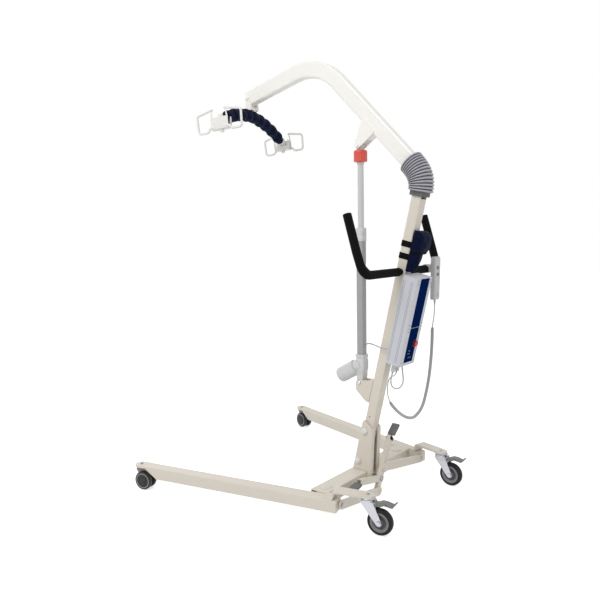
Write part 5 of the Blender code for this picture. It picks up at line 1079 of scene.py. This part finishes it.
for label, k in (("left", sleeve_count - 1), ("right", 1)):
    ends = [ring_point(sleeve_skin, k, j, 0.0006) for j in range(SLEEVE_SIDES)]
    centre = sum(ends, Vector()) / SLEEVE_SIDES
    lie = (CRADLE.to_3x3() @ (sleeve_line[k] - sleeve_line[k - 1])).normalized()
    rings = [[here + (here - centre).normalized() * u + lie * v for u, v in BINDING] for here in ends]
    add_piece("sleeve_binding_" + label, loft_mesh("binding", rings, round_again=True), strap_webbing, "cradle",
              80.0)

# %% [markdown]
# The pouch behind the handlebar holds the sling. It is a bag of the same nylon, strapped to the mast: flat at
# its back, full behind, wider towards the top. Its rows of width and depth were set to the outline in
# the photograph, and a cloth run with its mast side pinned gives it a filled, slightly slack bulge. A flap
# covers the upper half, and a black sheet at its mouth is painted shade, standing for the shaded opening.

# %% Sling pouch
POUCH_LOW, POUCH_TALL, POUCH_BACK = 0.775, 0.163, MAST_DEPTH / 2 + CLEARANCE
POUCH_ROWS = ((0.0, 0.030, -0.004, 0.020), (0.05, 0.034, -0.012, 0.034), (0.30, 0.034, -0.022, 0.040),
              (0.46, 0.034, -0.036, 0.039), (0.53, 0.034, -0.056, 0.040), (0.62, 0.034, -0.066, 0.042),
              (0.88, 0.033, -0.067, 0.040), (0.97, 0.028, -0.062, 0.030), (1.0, 0.020, -0.050, 0.016))
POUCH_RINGS, POUCH_SIDES = 40, 64


def between_rows(share):
    for low, high in zip(POUCH_ROWS, POUCH_ROWS[1:]):
        if share <= high[0]:
            t = (share - low[0]) / (high[0] - low[0])
            t = t * t * (3 - 2 * t) * 0.5 + t * 0.5
            return [a + (b - a) * t for a, b in zip(low[1:], high[1:])]
    return list(POUCH_ROWS[-1][1:])


def pouch_outline(share):
    """A D-shaped section: straight along the mast, bulging behind it."""
    left, right, deep = between_rows(share)
    outline = []
    for j in range(POUCH_SIDES):
        angle = 2 * math.pi * j / POUCH_SIDES
        c, s = math.cos(angle), math.sin(angle)
        u = abs(c) ** 0.5 * (1 if c > 0 else -1)
        v = abs(s) ** (0.75 if s > 0 else 0.28) * (1 if s > 0 else -1)
        outline.append(((left + right) / 2 + (left - right) / 2 * u, POUCH_BACK + deep / 2 * (1 + v)))
    return outline


pouch_rings = [[on_mast(u, v, POUCH_LOW + POUCH_TALL * k / POUCH_RINGS) for u, v in pouch_outline(k / POUCH_RINGS)]
               for k in range(POUCH_RINGS + 1)]
pouch = add_piece("sling_bag", loft_mesh("sling_bag", pouch_rings), navy_nylon, None, 80.0)
back_half = [k * POUCH_SIDES + j for k in range(POUCH_RINGS + 1) for j in range(POUCH_SIDES)
             if j >= POUCH_SIDES // 2 or k in (0, POUCH_RINGS)]
swollen(pouch, back_half, 4.0, 0.006)
creased(pouch, 0.026, 0.0050, MAST.to_3x3() @ Vector((0.35, 0, 0.94)), back_half)
pouch_skin = as_rings([v.co.copy() for v in pouch.data.vertices], POUCH_SIDES)
refine(pouch)
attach(pouch, "base")
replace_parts(pouch, "sling_pouch")

MOUTH_LOW, MOUTH_COLUMNS = 33, range(-9, 2)
FLAP_LOW, FLAP_COLUMNS = 20, range(-1, POUCH_SIDES // 2 + 2)


def pouch_patch(rows, columns, lift):
    """Points over part of the bag's skin, row by row."""
    return [[ring_point(pouch_skin, k, j % POUCH_SIDES, lift) for j in columns] for k in rows]


# painted shade: a black sheet over part of the bag's top stands for its shaded opening
mouth_rows = pouch_patch(range(MOUTH_LOW, POUCH_RINGS + 1), MOUTH_COLUMNS, 0.0007)
mouth = finished(loft_mesh("bag_mouth", mouth_rows, closed=False),
                 [("SOLIDIFY", {"thickness": 0.0010, "offset": 1.0})])
add_piece("bag_mouth", mouth, black_band, "base", 60.0)
flap_rows = pouch_patch(range(FLAP_LOW, POUCH_RINGS + 1), FLAP_COLUMNS, 0.0012)
flap_mesh = finished(loft_mesh("bag_flap", flap_rows, closed=False),
                     [("SOLIDIFY", {"thickness": 0.0012, "offset": 1.0}),
                      ("SUBSURF", {"levels": 1, "render_levels": 1})])
add_piece("bag_flap", flap_mesh, navy_nylon, "base", 60.0)
hem_line = pouch_patch([FLAP_LOW], FLAP_COLUMNS, 0.0024)[0]
hem_mesh = loft_mesh("bag_hem", sections_along(hem_line, oval(0.0040, 0.0012, 10), MAST_UP))
add_piece("bag_hem", hem_mesh, strap_webbing, "base", 80.0)
stitched("hem_stitches", pouch_patch([FLAP_LOW + 2], FLAP_COLUMNS, 0.0027)[0], "base", stitch_item)

# %% [markdown]
# Two webbing straps hold the bag to the mast. Each is a flat band that follows the mast's rounded square, with
# a plain buckle plate on the mast's front.

# %% Straps and buckles
STRAP_TALL, STRAP_THICK, STRAP_LOWS = 0.024, 0.0016, (0.820, 0.868)


def band_mesh(name, low, tall):
    """A flat closed band round the mast, made as a section that goes round it."""
    inner, outer = (rounded_square(MAST_WIDTH + 2 * off, MAST_DEPTH + 2 * off, radius)
                    for off, radius in ((CLEARANCE, 0.005), (CLEARANCE + STRAP_THICK, 0.006)))
    rings = [[on_mast(a, b, low), on_mast(c, d, low + 0.0006), on_mast(c, d, low + tall - 0.0006),
              on_mast(a, b, low + tall)] for (a, b), (c, d) in zip(inner, outer)]
    return loft_mesh(name, rings, round_again=True)


face = -MAST_DEPTH / 2 - STRAP_THICK - CLEARANCE
for number, low in enumerate(STRAP_LOWS):
    band = band_mesh("mast_strap", low, STRAP_TALL)
    add_piece("mast_strap_%d" % number, band, strap_webbing, "base")
    plate = prism_mesh("buckle", rounded_square(0.026, STRAP_TALL + 0.006, 0.003, 3, (0.0, low + STRAP_TALL / 2)),
                       face - 0.0035, face, MAST, "Y")
    add_piece("strap_buckle_%d" % number, softened(plate, 0.0008), button_plastic, "base")

# %% [markdown]
# Each sling hook set is bent and welded: a pressed channel that swivels on a bolt at the bar's end, a round
# wire hook at each side, and a thin sprung gate from the wire to the channel. All of it is dipped white.

# %% Sling hooks
HOOK_LENGTH, HOOK_HEIGHT, HOOK_CHANNEL, HOOK_WALL, HOOK_WIRE = 0.040, 0.050, 0.034, 0.003, 0.005
HOOK_SPAN, LOOP_HEIGHT, LOOP_FALL, SLEEVE_RISE = 0.218, 0.100, 0.016, 0.008
NOTCH_HALF, NOTCH_DEPTH = 0.030, 0.030


def hook_wire(sign, x):
    far, low = HOOK_SPAN / 2 - HOOK_WIRE, -HOOK_HEIGHT - 0.006
    high = low + LOOP_HEIGHT - 2 * HOOK_WIRE
    route = [(HOOK_LENGTH - 0.014, -0.040), (HOOK_LENGTH + 0.004, -0.040), (HOOK_LENGTH + 0.018, low),
             (far * 0.97, low), (far, high - LOOP_FALL), (HOOK_LENGTH - 0.014, high)]
    return [Vector((x, sign * y, z)) for y, z in route]


def channel_mesh(outward):
    """The U-shaped channel, with the wall towards the bar cut down where the bar swings."""
    half, low = HOOK_CHANNEL / 2, -HOOK_HEIGHT
    bend = 0.006
    outer = [(half, 0.0), (half, low + bend)] + [(half - bend + bend * math.cos(a), low + bend + bend * math.sin(a))
                                                 for a in (-math.pi / 2 * k / 4 for k in range(1, 5))]
    outer += [(-u, v) for u, v in reversed(outer)]
    inner = [(u * (half - HOOK_WALL) / half, max(v, low + HOOK_WALL)) for u, v in reversed(outer)]
    lengths = [-HOOK_LENGTH, -NOTCH_HALF - 0.006, -NOTCH_HALF, NOTCH_HALF, NOTCH_HALF + 0.006, HOOK_LENGTH]
    rings = []
    for y in lengths:
        cut_down = abs(y) <= NOTCH_HALF
        rings.append([Vector((u, y, -NOTCH_DEPTH if cut_down and v == 0.0 and u * outward < 0 else v))
                      for u, v in outer + inner])
    return loft_mesh("channel", rings)


def hook_set(name, node, joint, outward):
    place = frame_from(joint_place(joint), joint_axis(joint),
                       joint_place("left_hook_turn") - joint_place("right_hook_turn"))
    head = SLEEVE_RISE + CLEARANCE
    parts = [channel_mesh(outward),
             turned_mesh("bolt", [(0.0, -HOOK_HEIGHT - 0.010), (0.0078, -HOOK_HEIGHT - 0.010),
                                  (0.0090, -HOOK_HEIGHT - 0.008), (0.0090, -HOOK_HEIGHT), (0.006, -HOOK_HEIGHT),
                                  (0.006, head), (0.010, head), (0.010, head + 0.004), (0.007, head + 0.006),
                                  (0.0, head + 0.006)], WORLD, 24)]
    x = outward * (HOOK_CHANNEL / 2 - HOOK_WALL / 2)
    for sign in (1, -1):
        route = arc_path(hook_wire(sign, x), 0.013, 8)
        tip = (route[-1] - route[-2]).normalized()
        route = route[:-1] + [route[-1] - tip * 0.002, route[-1]]
        ends = len(route) - 1
        parts.append(loft_mesh("wire", sections_along(
            route, lambda k: circle(HOOK_WIRE * (0.55 if k == ends else 1.0), 20), Vector((1, 0, 0)))))
        free, foot = route[-1], sign * HOOK_LENGTH
        gate = [(free.y + sign * 0.003, free.z), (free.y + sign * 0.009, free.z - 0.001),
                (foot + sign * 0.001, -0.010), (foot - sign * 0.005, -0.010)]
        parts.append(prism_mesh("gate", gate, x - 0.0012, x + 0.0012, WORLD, "X"))
    for part in parts:
        part.transform(place)
    made = joined(name, parts, white_coat, node)
    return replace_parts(made, node)


hook_set("left_sling_hooks", "left_hook_set", "left_hook_turn", 1)
hook_set("right_sling_hooks", "right_hook_set", "right_hook_turn", -1)

# %% [markdown]
# Wheels are turned shapes. The rear ones have a solid rubber tyre on a grey core with a raised hub, and the
# front castors are pairs of small black discs. A joint's own place and axis says where each wheel turns.

# %% Wheels
def wheel_place(joint):
    return frame_from(joint_place(joint), joint_axis(joint), (0, 0, 1))


def half_height(node):
    low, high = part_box(node)
    return (high.z - low.z) / 2


TYRE_WIDTH, CORE_RADIUS, TWIN_GAP, TWIN_WIDTH = 0.030, 0.037, 0.0083, 0.0178
for side in ("left", "right"):
    place = wheel_place(side + "_rear_roll")
    radius, half = half_height(side + "_tyre"), TYRE_WIDTH / 2
    tread = [(CORE_RADIUS, -half + 0.002), (CORE_RADIUS + 0.004, -half), (radius - 0.006, -half + 0.0005),
             (radius - 0.0025, -half + 0.0030), (radius - 0.0006, -half + 0.0070), (radius, -0.004),
             (radius, 0.004), (radius - 0.0006, half - 0.0070), (radius - 0.0025, half - 0.0030),
             (radius - 0.006, half - 0.0005), (CORE_RADIUS + 0.004, half), (CORE_RADIUS, half - 0.002)]
    made = add_piece(side + "_rubber_tyre", hoop_mesh("tyre", tread, place, 72), tyre_rubber, side + "_rear_wheel",
                     50.0)
    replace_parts(made, side + "_tyre")
    dish = [(0.0, -half - 0.001), (0.006, -half - 0.001), (0.0065, -half + 0.001), (0.012, -half + 0.001),
            (0.0125, -half + 0.005), (0.026, -half + 0.006), (0.030, -half + 0.002), (CORE_RADIUS, -half + 0.002)]
    profile = dish + [(r, -h) for r, h in reversed(dish)]
    made = add_piece(side + "_grey_core", turned_mesh("core", profile, place, 64), core_plastic,
                     side + "_rear_wheel", 30.0)
    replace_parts(made, side + "_wheel_core")
    # painted shade: a dark flat ring on each face of the core stands for the shade in its recessed dish
    ring = [(0.0135, half - 0.0052), (0.0255, half - 0.0062), (0.0255, half - 0.0056), (0.0135, half - 0.0046)]
    for label, sign in (("out", 1), ("in", -1)):
        groove = hoop_mesh("groove", [(r, sign * h) for r, h in ring], place, 64)
        add_piece(side + "_core_groove_" + label, groove, groove_grey, side + "_rear_wheel", 30.0)

    place = wheel_place(side + "_front_roll")
    radius, inner, outer = half_height(side + "_twin_wheels"), TWIN_GAP, TWIN_GAP + TWIN_WIDTH
    disc = [(0.0, inner), (radius - 0.004, inner), (radius - 0.0012, inner + 0.0012), (radius, inner + 0.0045),
            (radius, outer - 0.0060), (radius - 0.0015, outer - 0.0025), (radius - 0.0050, outer - 0.0008),
            (radius - 0.0075, outer - 0.0004), (radius - 0.0080, outer - 0.0020), (radius * 0.45, outer - 0.0030),
            (radius * 0.40, outer), (radius * 0.30, outer + 0.0002), (0.0, outer + 0.0002)]
    ring = [(radius * 0.72, outer - 0.0031), (radius * 0.80, outer - 0.0027), (radius * 0.80, outer - 0.0012),
            (radius * 0.72, outer - 0.0012)]
    axle = [(0.0, -inner - 0.002), (0.004, -inner - 0.002), (0.004, inner + 0.002), (0.0, inner + 0.002)]
    parts = [turned_mesh("axle", axle, place, 16)]
    for label, sign in (("out", 1), ("in", -1)):
        parts.append(turned_mesh("disc", [(r, sign * h) for r, h in disc], place, 64))
        rim = hoop_mesh("ring", [(r, sign * h) for r, h in ring], place, 64)
        add_piece(side + "_disc_ring_" + label, rim, rim_plastic, side + "_front_wheels", 30.0)
    made = joined(side + "_twin_discs", parts, twin_plastic, side + "_front_wheels", 30.0)
    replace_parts(made, side + "_twin_wheels")

# %% [markdown]
# The grips are foam sleeves pushed over the bar's two halves. One loft follows the bar's bend, and its radius
# rounds off at the open end.

# %% Grips
BAR_CORNER, BAR_MIDDLE, BAR_END = (0.290, 0.1752, 0.951), (0.294, 0.147, 1.036), (0.293, 0.103, 1.174)
BAR_BEND, GRIP_RADIUS, GRIP_INNER = 0.070, 0.0165, 0.040
for side, sign in (("left", 1), ("right", -1)):
    corners = [point(sign * x, y, z) for x, y, z in (BAR_END, BAR_MIDDLE, BAR_CORNER)]
    corners.append(Vector((sign * GRIP_INNER, corners[-1].y, corners[-1].z)))
    route = arc_path(corners, BAR_BEND, 12)
    step = (route[1] - route[0]).normalized()
    route = [route[0], route[0] + step * 0.0008, route[0] + step * 0.002, route[0] + step * 0.004] + route[1:]
    rounding = {0: 0.80, 1: 0.90, 2: 0.96}
    rings = sections_along(route, lambda k: circle(GRIP_RADIUS * rounding.get(k, 1.0), 40), Vector((0, 1, 0.2)))
    made = add_piece(side + "_foam_grip", loft_mesh("grip", rings), grip_foam, "base", 60.0)
    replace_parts(made, side + "_grip")

# %% [markdown]
# The lift actuator is a worm drive: a die-cast block at the foot, a motor that slopes off it, a square outer
# tube and a round rod. The motor's end cap has a rim and three screws. The red collar at the rod's head is
# turned by hand to lower the boom in an emergency, so it has grip ribs.

# %% Actuator
MOTOR_DROP, MOTOR_START = math.radians(30.5), 0.078
MOTOR_RADIUS, NECK_RADIUS, NECK, MOTOR_LENGTH = 0.033, 0.022, 0.032, 0.126
MOTOR_SCREWS, MOTOR_SCREW_CIRCLE = 3, 0.019
motor_place = ACTUATOR @ frame_from((0.0, 0.0, MOTOR_START),
                                    (0.0, -math.cos(MOTOR_DROP), -math.sin(MOTOR_DROP)), (1, 0, 0))
r, end = MOTOR_RADIUS, MOTOR_LENGTH
motor_profile = [(NECK_RADIUS, 0.020), (NECK_RADIUS, NECK - 0.004), (NECK_RADIUS + 0.003, NECK - 0.001),
                 (r - 0.004, NECK), (r - 0.001, NECK + 0.001), (r, NECK + 0.003), (r, end - 0.034),
                 (r - 0.0007, end - 0.0335), (r - 0.0007, end - 0.0325), (r, end - 0.032),
                 (r - 0.0004, end - 0.008), (r - 0.0022, end - 0.003),
                 (r - 0.006, end - 0.0008), (r - 0.010, end), (r - 0.0105, end - 0.0008), (0.0, end - 0.0008)]
motor = add_piece("motor_body", turned_mesh("motor_body", motor_profile, motor_place, 64), motor_plastic, "actuator",
                  40.0)
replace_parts(motor, "motor")
motor_screws = []
for k in range(MOTOR_SCREWS):
    angle = 2 * math.pi * k / MOTOR_SCREWS + 0.4
    spot = motor_place @ Vector((MOTOR_SCREW_CIRCLE * math.cos(angle), MOTOR_SCREW_CIRCLE * math.sin(angle),
                                 end - 0.0006))
    motor_screws.append((spot, motor_place.to_3x3() @ Vector((0, 0, 1))))
screws("motor_screws", motor_screws, "actuator", screw_item, dark_steel)

GEAR_HALF, GEAR_LOW, GEAR_TOP, FOOT_HALF = 0.0215, 0.024, 0.118, 0.0188
levels = [(GEAR_LOW, 0.80), (GEAR_LOW + 0.003, 0.86), (0.050, 0.88), (0.053, 0.97), (0.056, 1.0), (0.094, 1.0),
          (0.097, 0.97), (0.099, 0.88), (0.104, 0.87), (0.1055, 0.97), (0.1075, 1.0), (GEAR_TOP - 0.001, 1.0),
          (GEAR_TOP, 0.97)]
block = rounded_square(2 * GEAR_HALF, 2 * GEAR_HALF, 0.007, 6)
gear_parts = [loft_mesh("block", [[ACTUATOR @ Vector((u * s, v * s, z)) for u, v in block] for z, s in levels])]
mouth = [(0.018, 0.0), (NECK_RADIUS + 0.004, 0.0), (NECK_RADIUS + 0.005, 0.004), (NECK_RADIUS + 0.005, 0.026),
         (NECK_RADIUS + 0.003, 0.028), (NECK_RADIUS, 0.0282)]
gear_parts.append(turned_mesh("mouth", mouth, motor_place, 48))
eye = [(0.012 * math.cos(a), 0.012 * math.sin(a)) for a in (math.pi + math.pi * k / 14 for k in range(15))]
gear_parts.append(prism_mesh("eye", eye + [(0.0155, GEAR_LOW + 0.004), (-0.0155, GEAR_LOW + 0.004)], -FOOT_HALF,
                             FOOT_HALF, ACTUATOR, "X"))
rib = [(0.0225, 0.060), (0.0225, 0.091), (0.0212, 0.091), (0.0212, 0.060)]
gear_parts += [prism_mesh("rib", rib, x - 0.0012, x + 0.0012, ACTUATOR, "X") for x in (-0.010, 0.0, 0.010)]
gear = joined("gear_block", gear_parts, motor_plastic, "actuator", 40.0)
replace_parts(gear, "gear_housing")

HEAD_LOW, HEAD_TOP, HEAD_HALF = 0.590, 0.643, 0.01675
head_outline = rounded_square(2 * HEAD_HALF + 0.0008, 2 * HEAD_HALF + 0.0008, 0.005, 5)
head_rings = [[ACTUATOR @ Vector((u * s, v * s, z)) for u, v in head_outline]
              for z, s in ((HEAD_LOW - 0.0004, 0.90), (HEAD_LOW - 0.0004, 0.99), (HEAD_LOW + 0.001, 1.0), (0.612, 1.0),
                           (0.6125, 0.985), (0.6145, 0.985), (0.615, 1.0), (HEAD_TOP - 0.002, 1.0),
                           (HEAD_TOP + 0.0003, 0.95), (HEAD_TOP + 0.0003, 0.82))]
add_piece("tube_head", loft_mesh("tube_head", head_rings), motor_plastic, "actuator", 40.0)

COLLAR_LOW, COLLAR_HEIGHT, COLLAR_RADIUS, COLLAR_BORE = 0.909, 0.047, 0.0275, 0.0131
RIBS, RIB_DEPTH = 24, 0.0011


def ribbed(radius, depth, steps=RIBS * 8):
    outline = []
    for k in range(steps):
        angle = 2 * math.pi * k / steps
        reach = radius - depth * (0.5 + 0.5 * math.cos(RIBS * angle)) ** 3
        outline.append((reach * math.cos(angle), reach * math.sin(angle)))
    return outline


r = COLLAR_RADIUS
collar_rows = ((COLLAR_BORE, 0.0, 0.0), (r - 0.004, 0.0, 0.0), (r - 0.001, 0.0, 0.0015), (r, 0.0, 0.004),
               (r, RIB_DEPTH, 0.007), (r, RIB_DEPTH, 0.037), (r, 0.0, 0.041), (r - 0.001, 0.0, 0.0455),
               (r - 0.004, 0.0, COLLAR_HEIGHT), (COLLAR_BORE, 0.0, COLLAR_HEIGHT))
collar_rings = [[ACTUATOR @ Vector((u, v, COLLAR_LOW + z)) for u, v in ribbed(radius, depth)]
                for radius, depth, z in collar_rows]
collar = add_piece("red_collar", loft_mesh("red_collar", collar_rings, round_again=True), red_plastic,
                   "release_collar", 40.0)
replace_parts(collar, "release_collar")

# %% [markdown]
# The control box keeps its CAD shells. Behind the mast, on the face that the operator sees, lies a dark blue
# strip in two lengths, with screws down both edges. Thin darker lines are painted shade in the seams and the side
# grooves.

# %% Control box
STRIP_HALF, STRIP_LOW, STRIP_TOP, STRIP_THICK = 0.034, 0.421, 0.7655, 0.0008
STOP_X, STOP_Z, STOP_RADIUS = -0.022, 0.498, 0.0125
BOX_SEAM, STRIP_GAP, BOX_GROOVES = 0.566, 0.0014, (0.018, 0.024, 0.052, 0.058)
for label, low, high in (("lower", STRIP_LOW, BOX_SEAM - STRIP_GAP), ("upper", BOX_SEAM + STRIP_GAP, STRIP_TOP)):
    plate = prism_mesh("strip", rounded_square(2 * STRIP_HALF, high - low, 0.003, 4, (0.0, (high + low) / 2)),
                       BOX_FRONT - 0.0002, BOX_FRONT + STRIP_THICK, MAST, "Y")
    add_piece("blue_strip_" + label, softened(plate, 0.0004, 1), strip_blue, "base")
for side, sign in (("left", 1), ("right", -1)):
    # painted shade: dark lines stand for the shade in the side grooves
    grooves = [rounded_square(0.0011, BOX_TOP - BOX_LOW - 0.030, 0.0005, 2,
                              (BOX_FRONT - back, (BOX_LOW + BOX_TOP) / 2 - 0.004)) for back in BOX_GROOVES]
    marks(side + "_box_grooves", grooves, BOX_HALF, 0.0003, MAST, "X", brake_plastic, sign)
# painted shade: dark lines stand for the shade in the seams
seams = [rounded_square(2 * BOX_HALF - 0.008, 0.0010, 0.0004, 2, (0.0, z)) for z in (BOX_SEAM, BOX_TOP - 0.010)]
marks("box_seams", seams, BOX_FRONT, 0.0003, MAST, "Y", brake_plastic)
screw_rows = (BOX_LOW + 0.016, BOX_SEAM - 0.014, BOX_SEAM + 0.014, BOX_TOP - 0.022)
front = MAST.to_3x3() @ Vector((0, 1, 0))
box_screws = [(on_mast(sign * (BOX_HALF - 0.0125), BOX_FRONT, z), front) for z in screw_rows for sign in (1, -1)]
screws("box_screws", box_screws, "base", screw_item, dark_steel)

# %% [markdown]
# The red stop button is a mushroom head in a dark bezel. The bezel's hole is wider than the head, which passes
# into it when it is pressed. Seven small lights stand below it, bare of any sign.

# %% Stop button and lights
STATUS_LIGHTS = ((0.013, 0.470), (0.004, 0.470), (0.013, 0.458), (0.004, 0.458), (-0.012, 0.441), (-0.003, 0.441),
                 (0.006, 0.441))
bezel = [(STOP_RADIUS + 0.0007, 0.0), (STOP_RADIUS + 0.0035, 0.0), (STOP_RADIUS + 0.0035, 0.0012),
         (STOP_RADIUS + 0.0025, 0.0020), (STOP_RADIUS + 0.0007, 0.0020)]
stop_place = MAST @ frame_from((STOP_X, BOX_FRONT + STRIP_THICK, STOP_Z), (0, 1, 0), (1, 0, 0))
add_piece("stop_bezel", hoop_mesh("stop_bezel", bezel, stop_place, 40), button_plastic, "base", 30.0)
head_place = MAST @ frame_from((STOP_X, BOX_FRONT + 0.004 + CLEARANCE, STOP_Z), (0, 1, 0), (1, 0, 0))
r = STOP_RADIUS
head = [(0.0, -0.012), (0.006, -0.012), (0.006, 0.0), (r - 0.002, 0.0), (r - 0.0005, 0.0006), (r, 0.0020),
        (r, 0.0055), (r - 0.0006, 0.0074), (r - 0.0025, 0.0092), (r - 0.006, 0.0105), (r - 0.010, 0.0110),
        (0.0, 0.0110)]
stop = add_piece("stop_head", turned_mesh("stop_head", head, head_place, 48), stop_red, "stop_button",
                 40.0)
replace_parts(stop, "stop_button")
lights = [rounded_square(0.0030, 0.0030, 0.0012, 3, spot) for spot in STATUS_LIGHTS]
marks("status_lights", lights, BOX_FRONT + STRIP_THICK, 0.0005, MAST, "Y", box_plastic)

# %% [markdown]
# The handset has grip ribs above and below its middle and a small arrow for each button. The gear block has a
# slot in each side, shown by a dark plate of painted shade, and a black plug closes the open end under each pedal pad.

# %% Handset, gear block and pads
HANDSET_FACE, HANDSET_MIDDLE = HANDSET_ROUTE[0].y + 0.011, HANDSET_ROUTE[0].x
HANDSET_RIBS = (0.992, 0.986, 0.980, 0.916, 0.908, 0.900, 0.892, 0.884, 0.876, 0.868)
ribs = [rounded_square(0.034, 0.0012, 0.0005, 2, (HANDSET_MIDDLE, z)) for z in HANDSET_RIBS]
marks("handset_ribs", ribs, HANDSET_FACE, 0.0005, WORLD, "Y", motor_plastic)
arrow = [(-0.0035, -0.0020), (0.0035, -0.0020), (0.0, 0.0035)]
arrows = [[(HANDSET_MIDDLE + u, z + turn * v) for u, v in arrow][::turn] for z, turn in ((0.851, 1), (0.841, -1))]
marks("handset_arrows", arrows, HANDSET_FACE, 0.0004, WORLD, "Y", groove_grey)
# painted shade: a dark plate on each side of the gear block stands for the shade inside a slot
slots = [prism_mesh("slot", rounded_square(0.0050, 0.026, 0.002, 3, (-0.0145, 0.076)), sign * (GEAR_HALF - 0.001),
                    sign * (GEAR_HALF + 0.0005), ACTUATOR, "X") for sign in (1, -1)]
joined("gear_slots", slots, groove_grey, "actuator", 30.0)
for side in ("left", "right"):
    pad = sorted((v.co.copy() for v in nodes[side + "_pad"].data.vertices), key=lambda point: point.z)
    share = max(len(pad) // 6, 1)
    foot, top = sum(pad[:share], Vector()) / share, sum(pad[-share:], Vector()) / share
    plug = frame_from(foot + (top - foot) * 0.04, foot - top, (1, 0, 0))
    block = prism_mesh("plug", rounded_square(0.0300, 0.0225, 0.003, 3), 0.0, 0.014, plug)
    add_piece(side + "_pad_plug", softened(block, 0.0008), black_band, "pedal", 40.0)

# %% [markdown]
# Each rear castor turns on a ball race: a pressed zinc ring shows between its fork and the arm. The axle is a
# bolt, and its hexagon head and nut stand on the fork's two cheeks.

# %% Castor hardware
RACE_RADIUS, RACE_HEIGHT, STEM_ABOVE, NUT_RADIUS = 0.0285, 0.0062, 0.0123, 0.0092
for side in ("left", "right"):
    pivot, fork_top = joint_place(side + "_rear_swivel"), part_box(side + "_fork")[1].z
    seat = Matrix.Translation((pivot.x, pivot.y, fork_top - STEM_ABOVE))
    race = [(0.008, -RACE_HEIGHT), (RACE_RADIUS - 0.003, -RACE_HEIGHT), (RACE_RADIUS, -RACE_HEIGHT * 0.55),
            (RACE_RADIUS, -RACE_HEIGHT * 0.35), (RACE_RADIUS - 0.002, -0.0002), (0.008, -0.0002)]
    add_piece(side + "_ball_race", hoop_mesh("race", race, seat, 48), zinc_plate, side + "_fork", 30.0)
    # painted shade: a thin dark band round the race stands for the shade in its gap
    gap = [(RACE_RADIUS - 0.001, -RACE_HEIGHT * 0.62), (RACE_RADIUS + 0.0003, -RACE_HEIGHT * 0.62),
           (RACE_RADIUS + 0.0003, -RACE_HEIGHT * 0.42), (RACE_RADIUS - 0.001, -RACE_HEIGHT * 0.42)]
    add_piece(side + "_race_gap", hoop_mesh("gap", gap, seat, 48), groove_grey, side + "_fork", 30.0)
    axle = wheel_place(side + "_rear_roll")
    across = max((Vector(v.co) - axle.translation).dot(axle.col[2].to_3d())
                 for v in nodes[side + "_fork"].data.vertices)
    nut = [(0.0, -0.0052), (NUT_RADIUS, -0.0052), (NUT_RADIUS, -0.0008), (NUT_RADIUS - 0.0012, 0.0004), (0.0, 0.0004)]
    nuts = [turned_mesh("nut", [(r, sign * (across + h)) for r, h in nut], axle, 6) for sign in (1, -1)]
    print(side, "fork reaches", round(across * 1000, 1), "mm from the wheel's middle")
    joined(side + "_axle_nuts", nuts, zinc_plate, side + "_fork", 20.0)

for item in (stitch_item, screw_item):
    bpy.data.objects.remove(item)

# %% [markdown]
# The rigid CAD pieces keep their shape and take their finish here. Nothing about them moves or changes.

# %% Dress the CAD nodes
DRESS = {
    beige_coat: ("crossbeam", "mast", "mast_socket", "actuator_bracket", "left_leg", "right_leg", "left_leg_bolt",
                 "right_leg_bolt", "pedal_lever", "left_tie_link", "right_tie_link"),
    ivory_coat: ("boom", "hanger"),
    white_coat: ("spreader_bar",),
    zinc_plate: ("actuator_pin", "boom_pin", "left_fork", "right_fork"),
    dark_steel: ("pedal_bolt", "left_tie_ball", "right_tie_ball"),
    knob_plastic: ("mast_bolt_upper", "mast_bolt_lower"),
    hood_plastic: ("left_castor_hood", "right_castor_hood"),
    pad_rubber: ("left_pad", "right_pad"),
    tube_grey: ("outer_tube",),
    rod_silver: ("actuator_rod",),
    box_plastic: ("box_housing", "front_cover"),
    handset_plastic: ("handset",),
    brake_plastic: ("left_brake", "right_brake", "button_up", "button_down"),
    battery_plastic: ("battery_pack",),
    board_green: ("control_board",),
    black_band: ("handlebar",),
}
for material, names in DRESS.items():
    for name in names:
        for slot in nodes[name].material_slots:
            slot.material = material
dressed = {name for names in DRESS.values() for name in names}
bare = [name for name, node in nodes.items() if not node.hide_render and name not in dressed]
print("CAD nodes without a finish of their own:", bare)
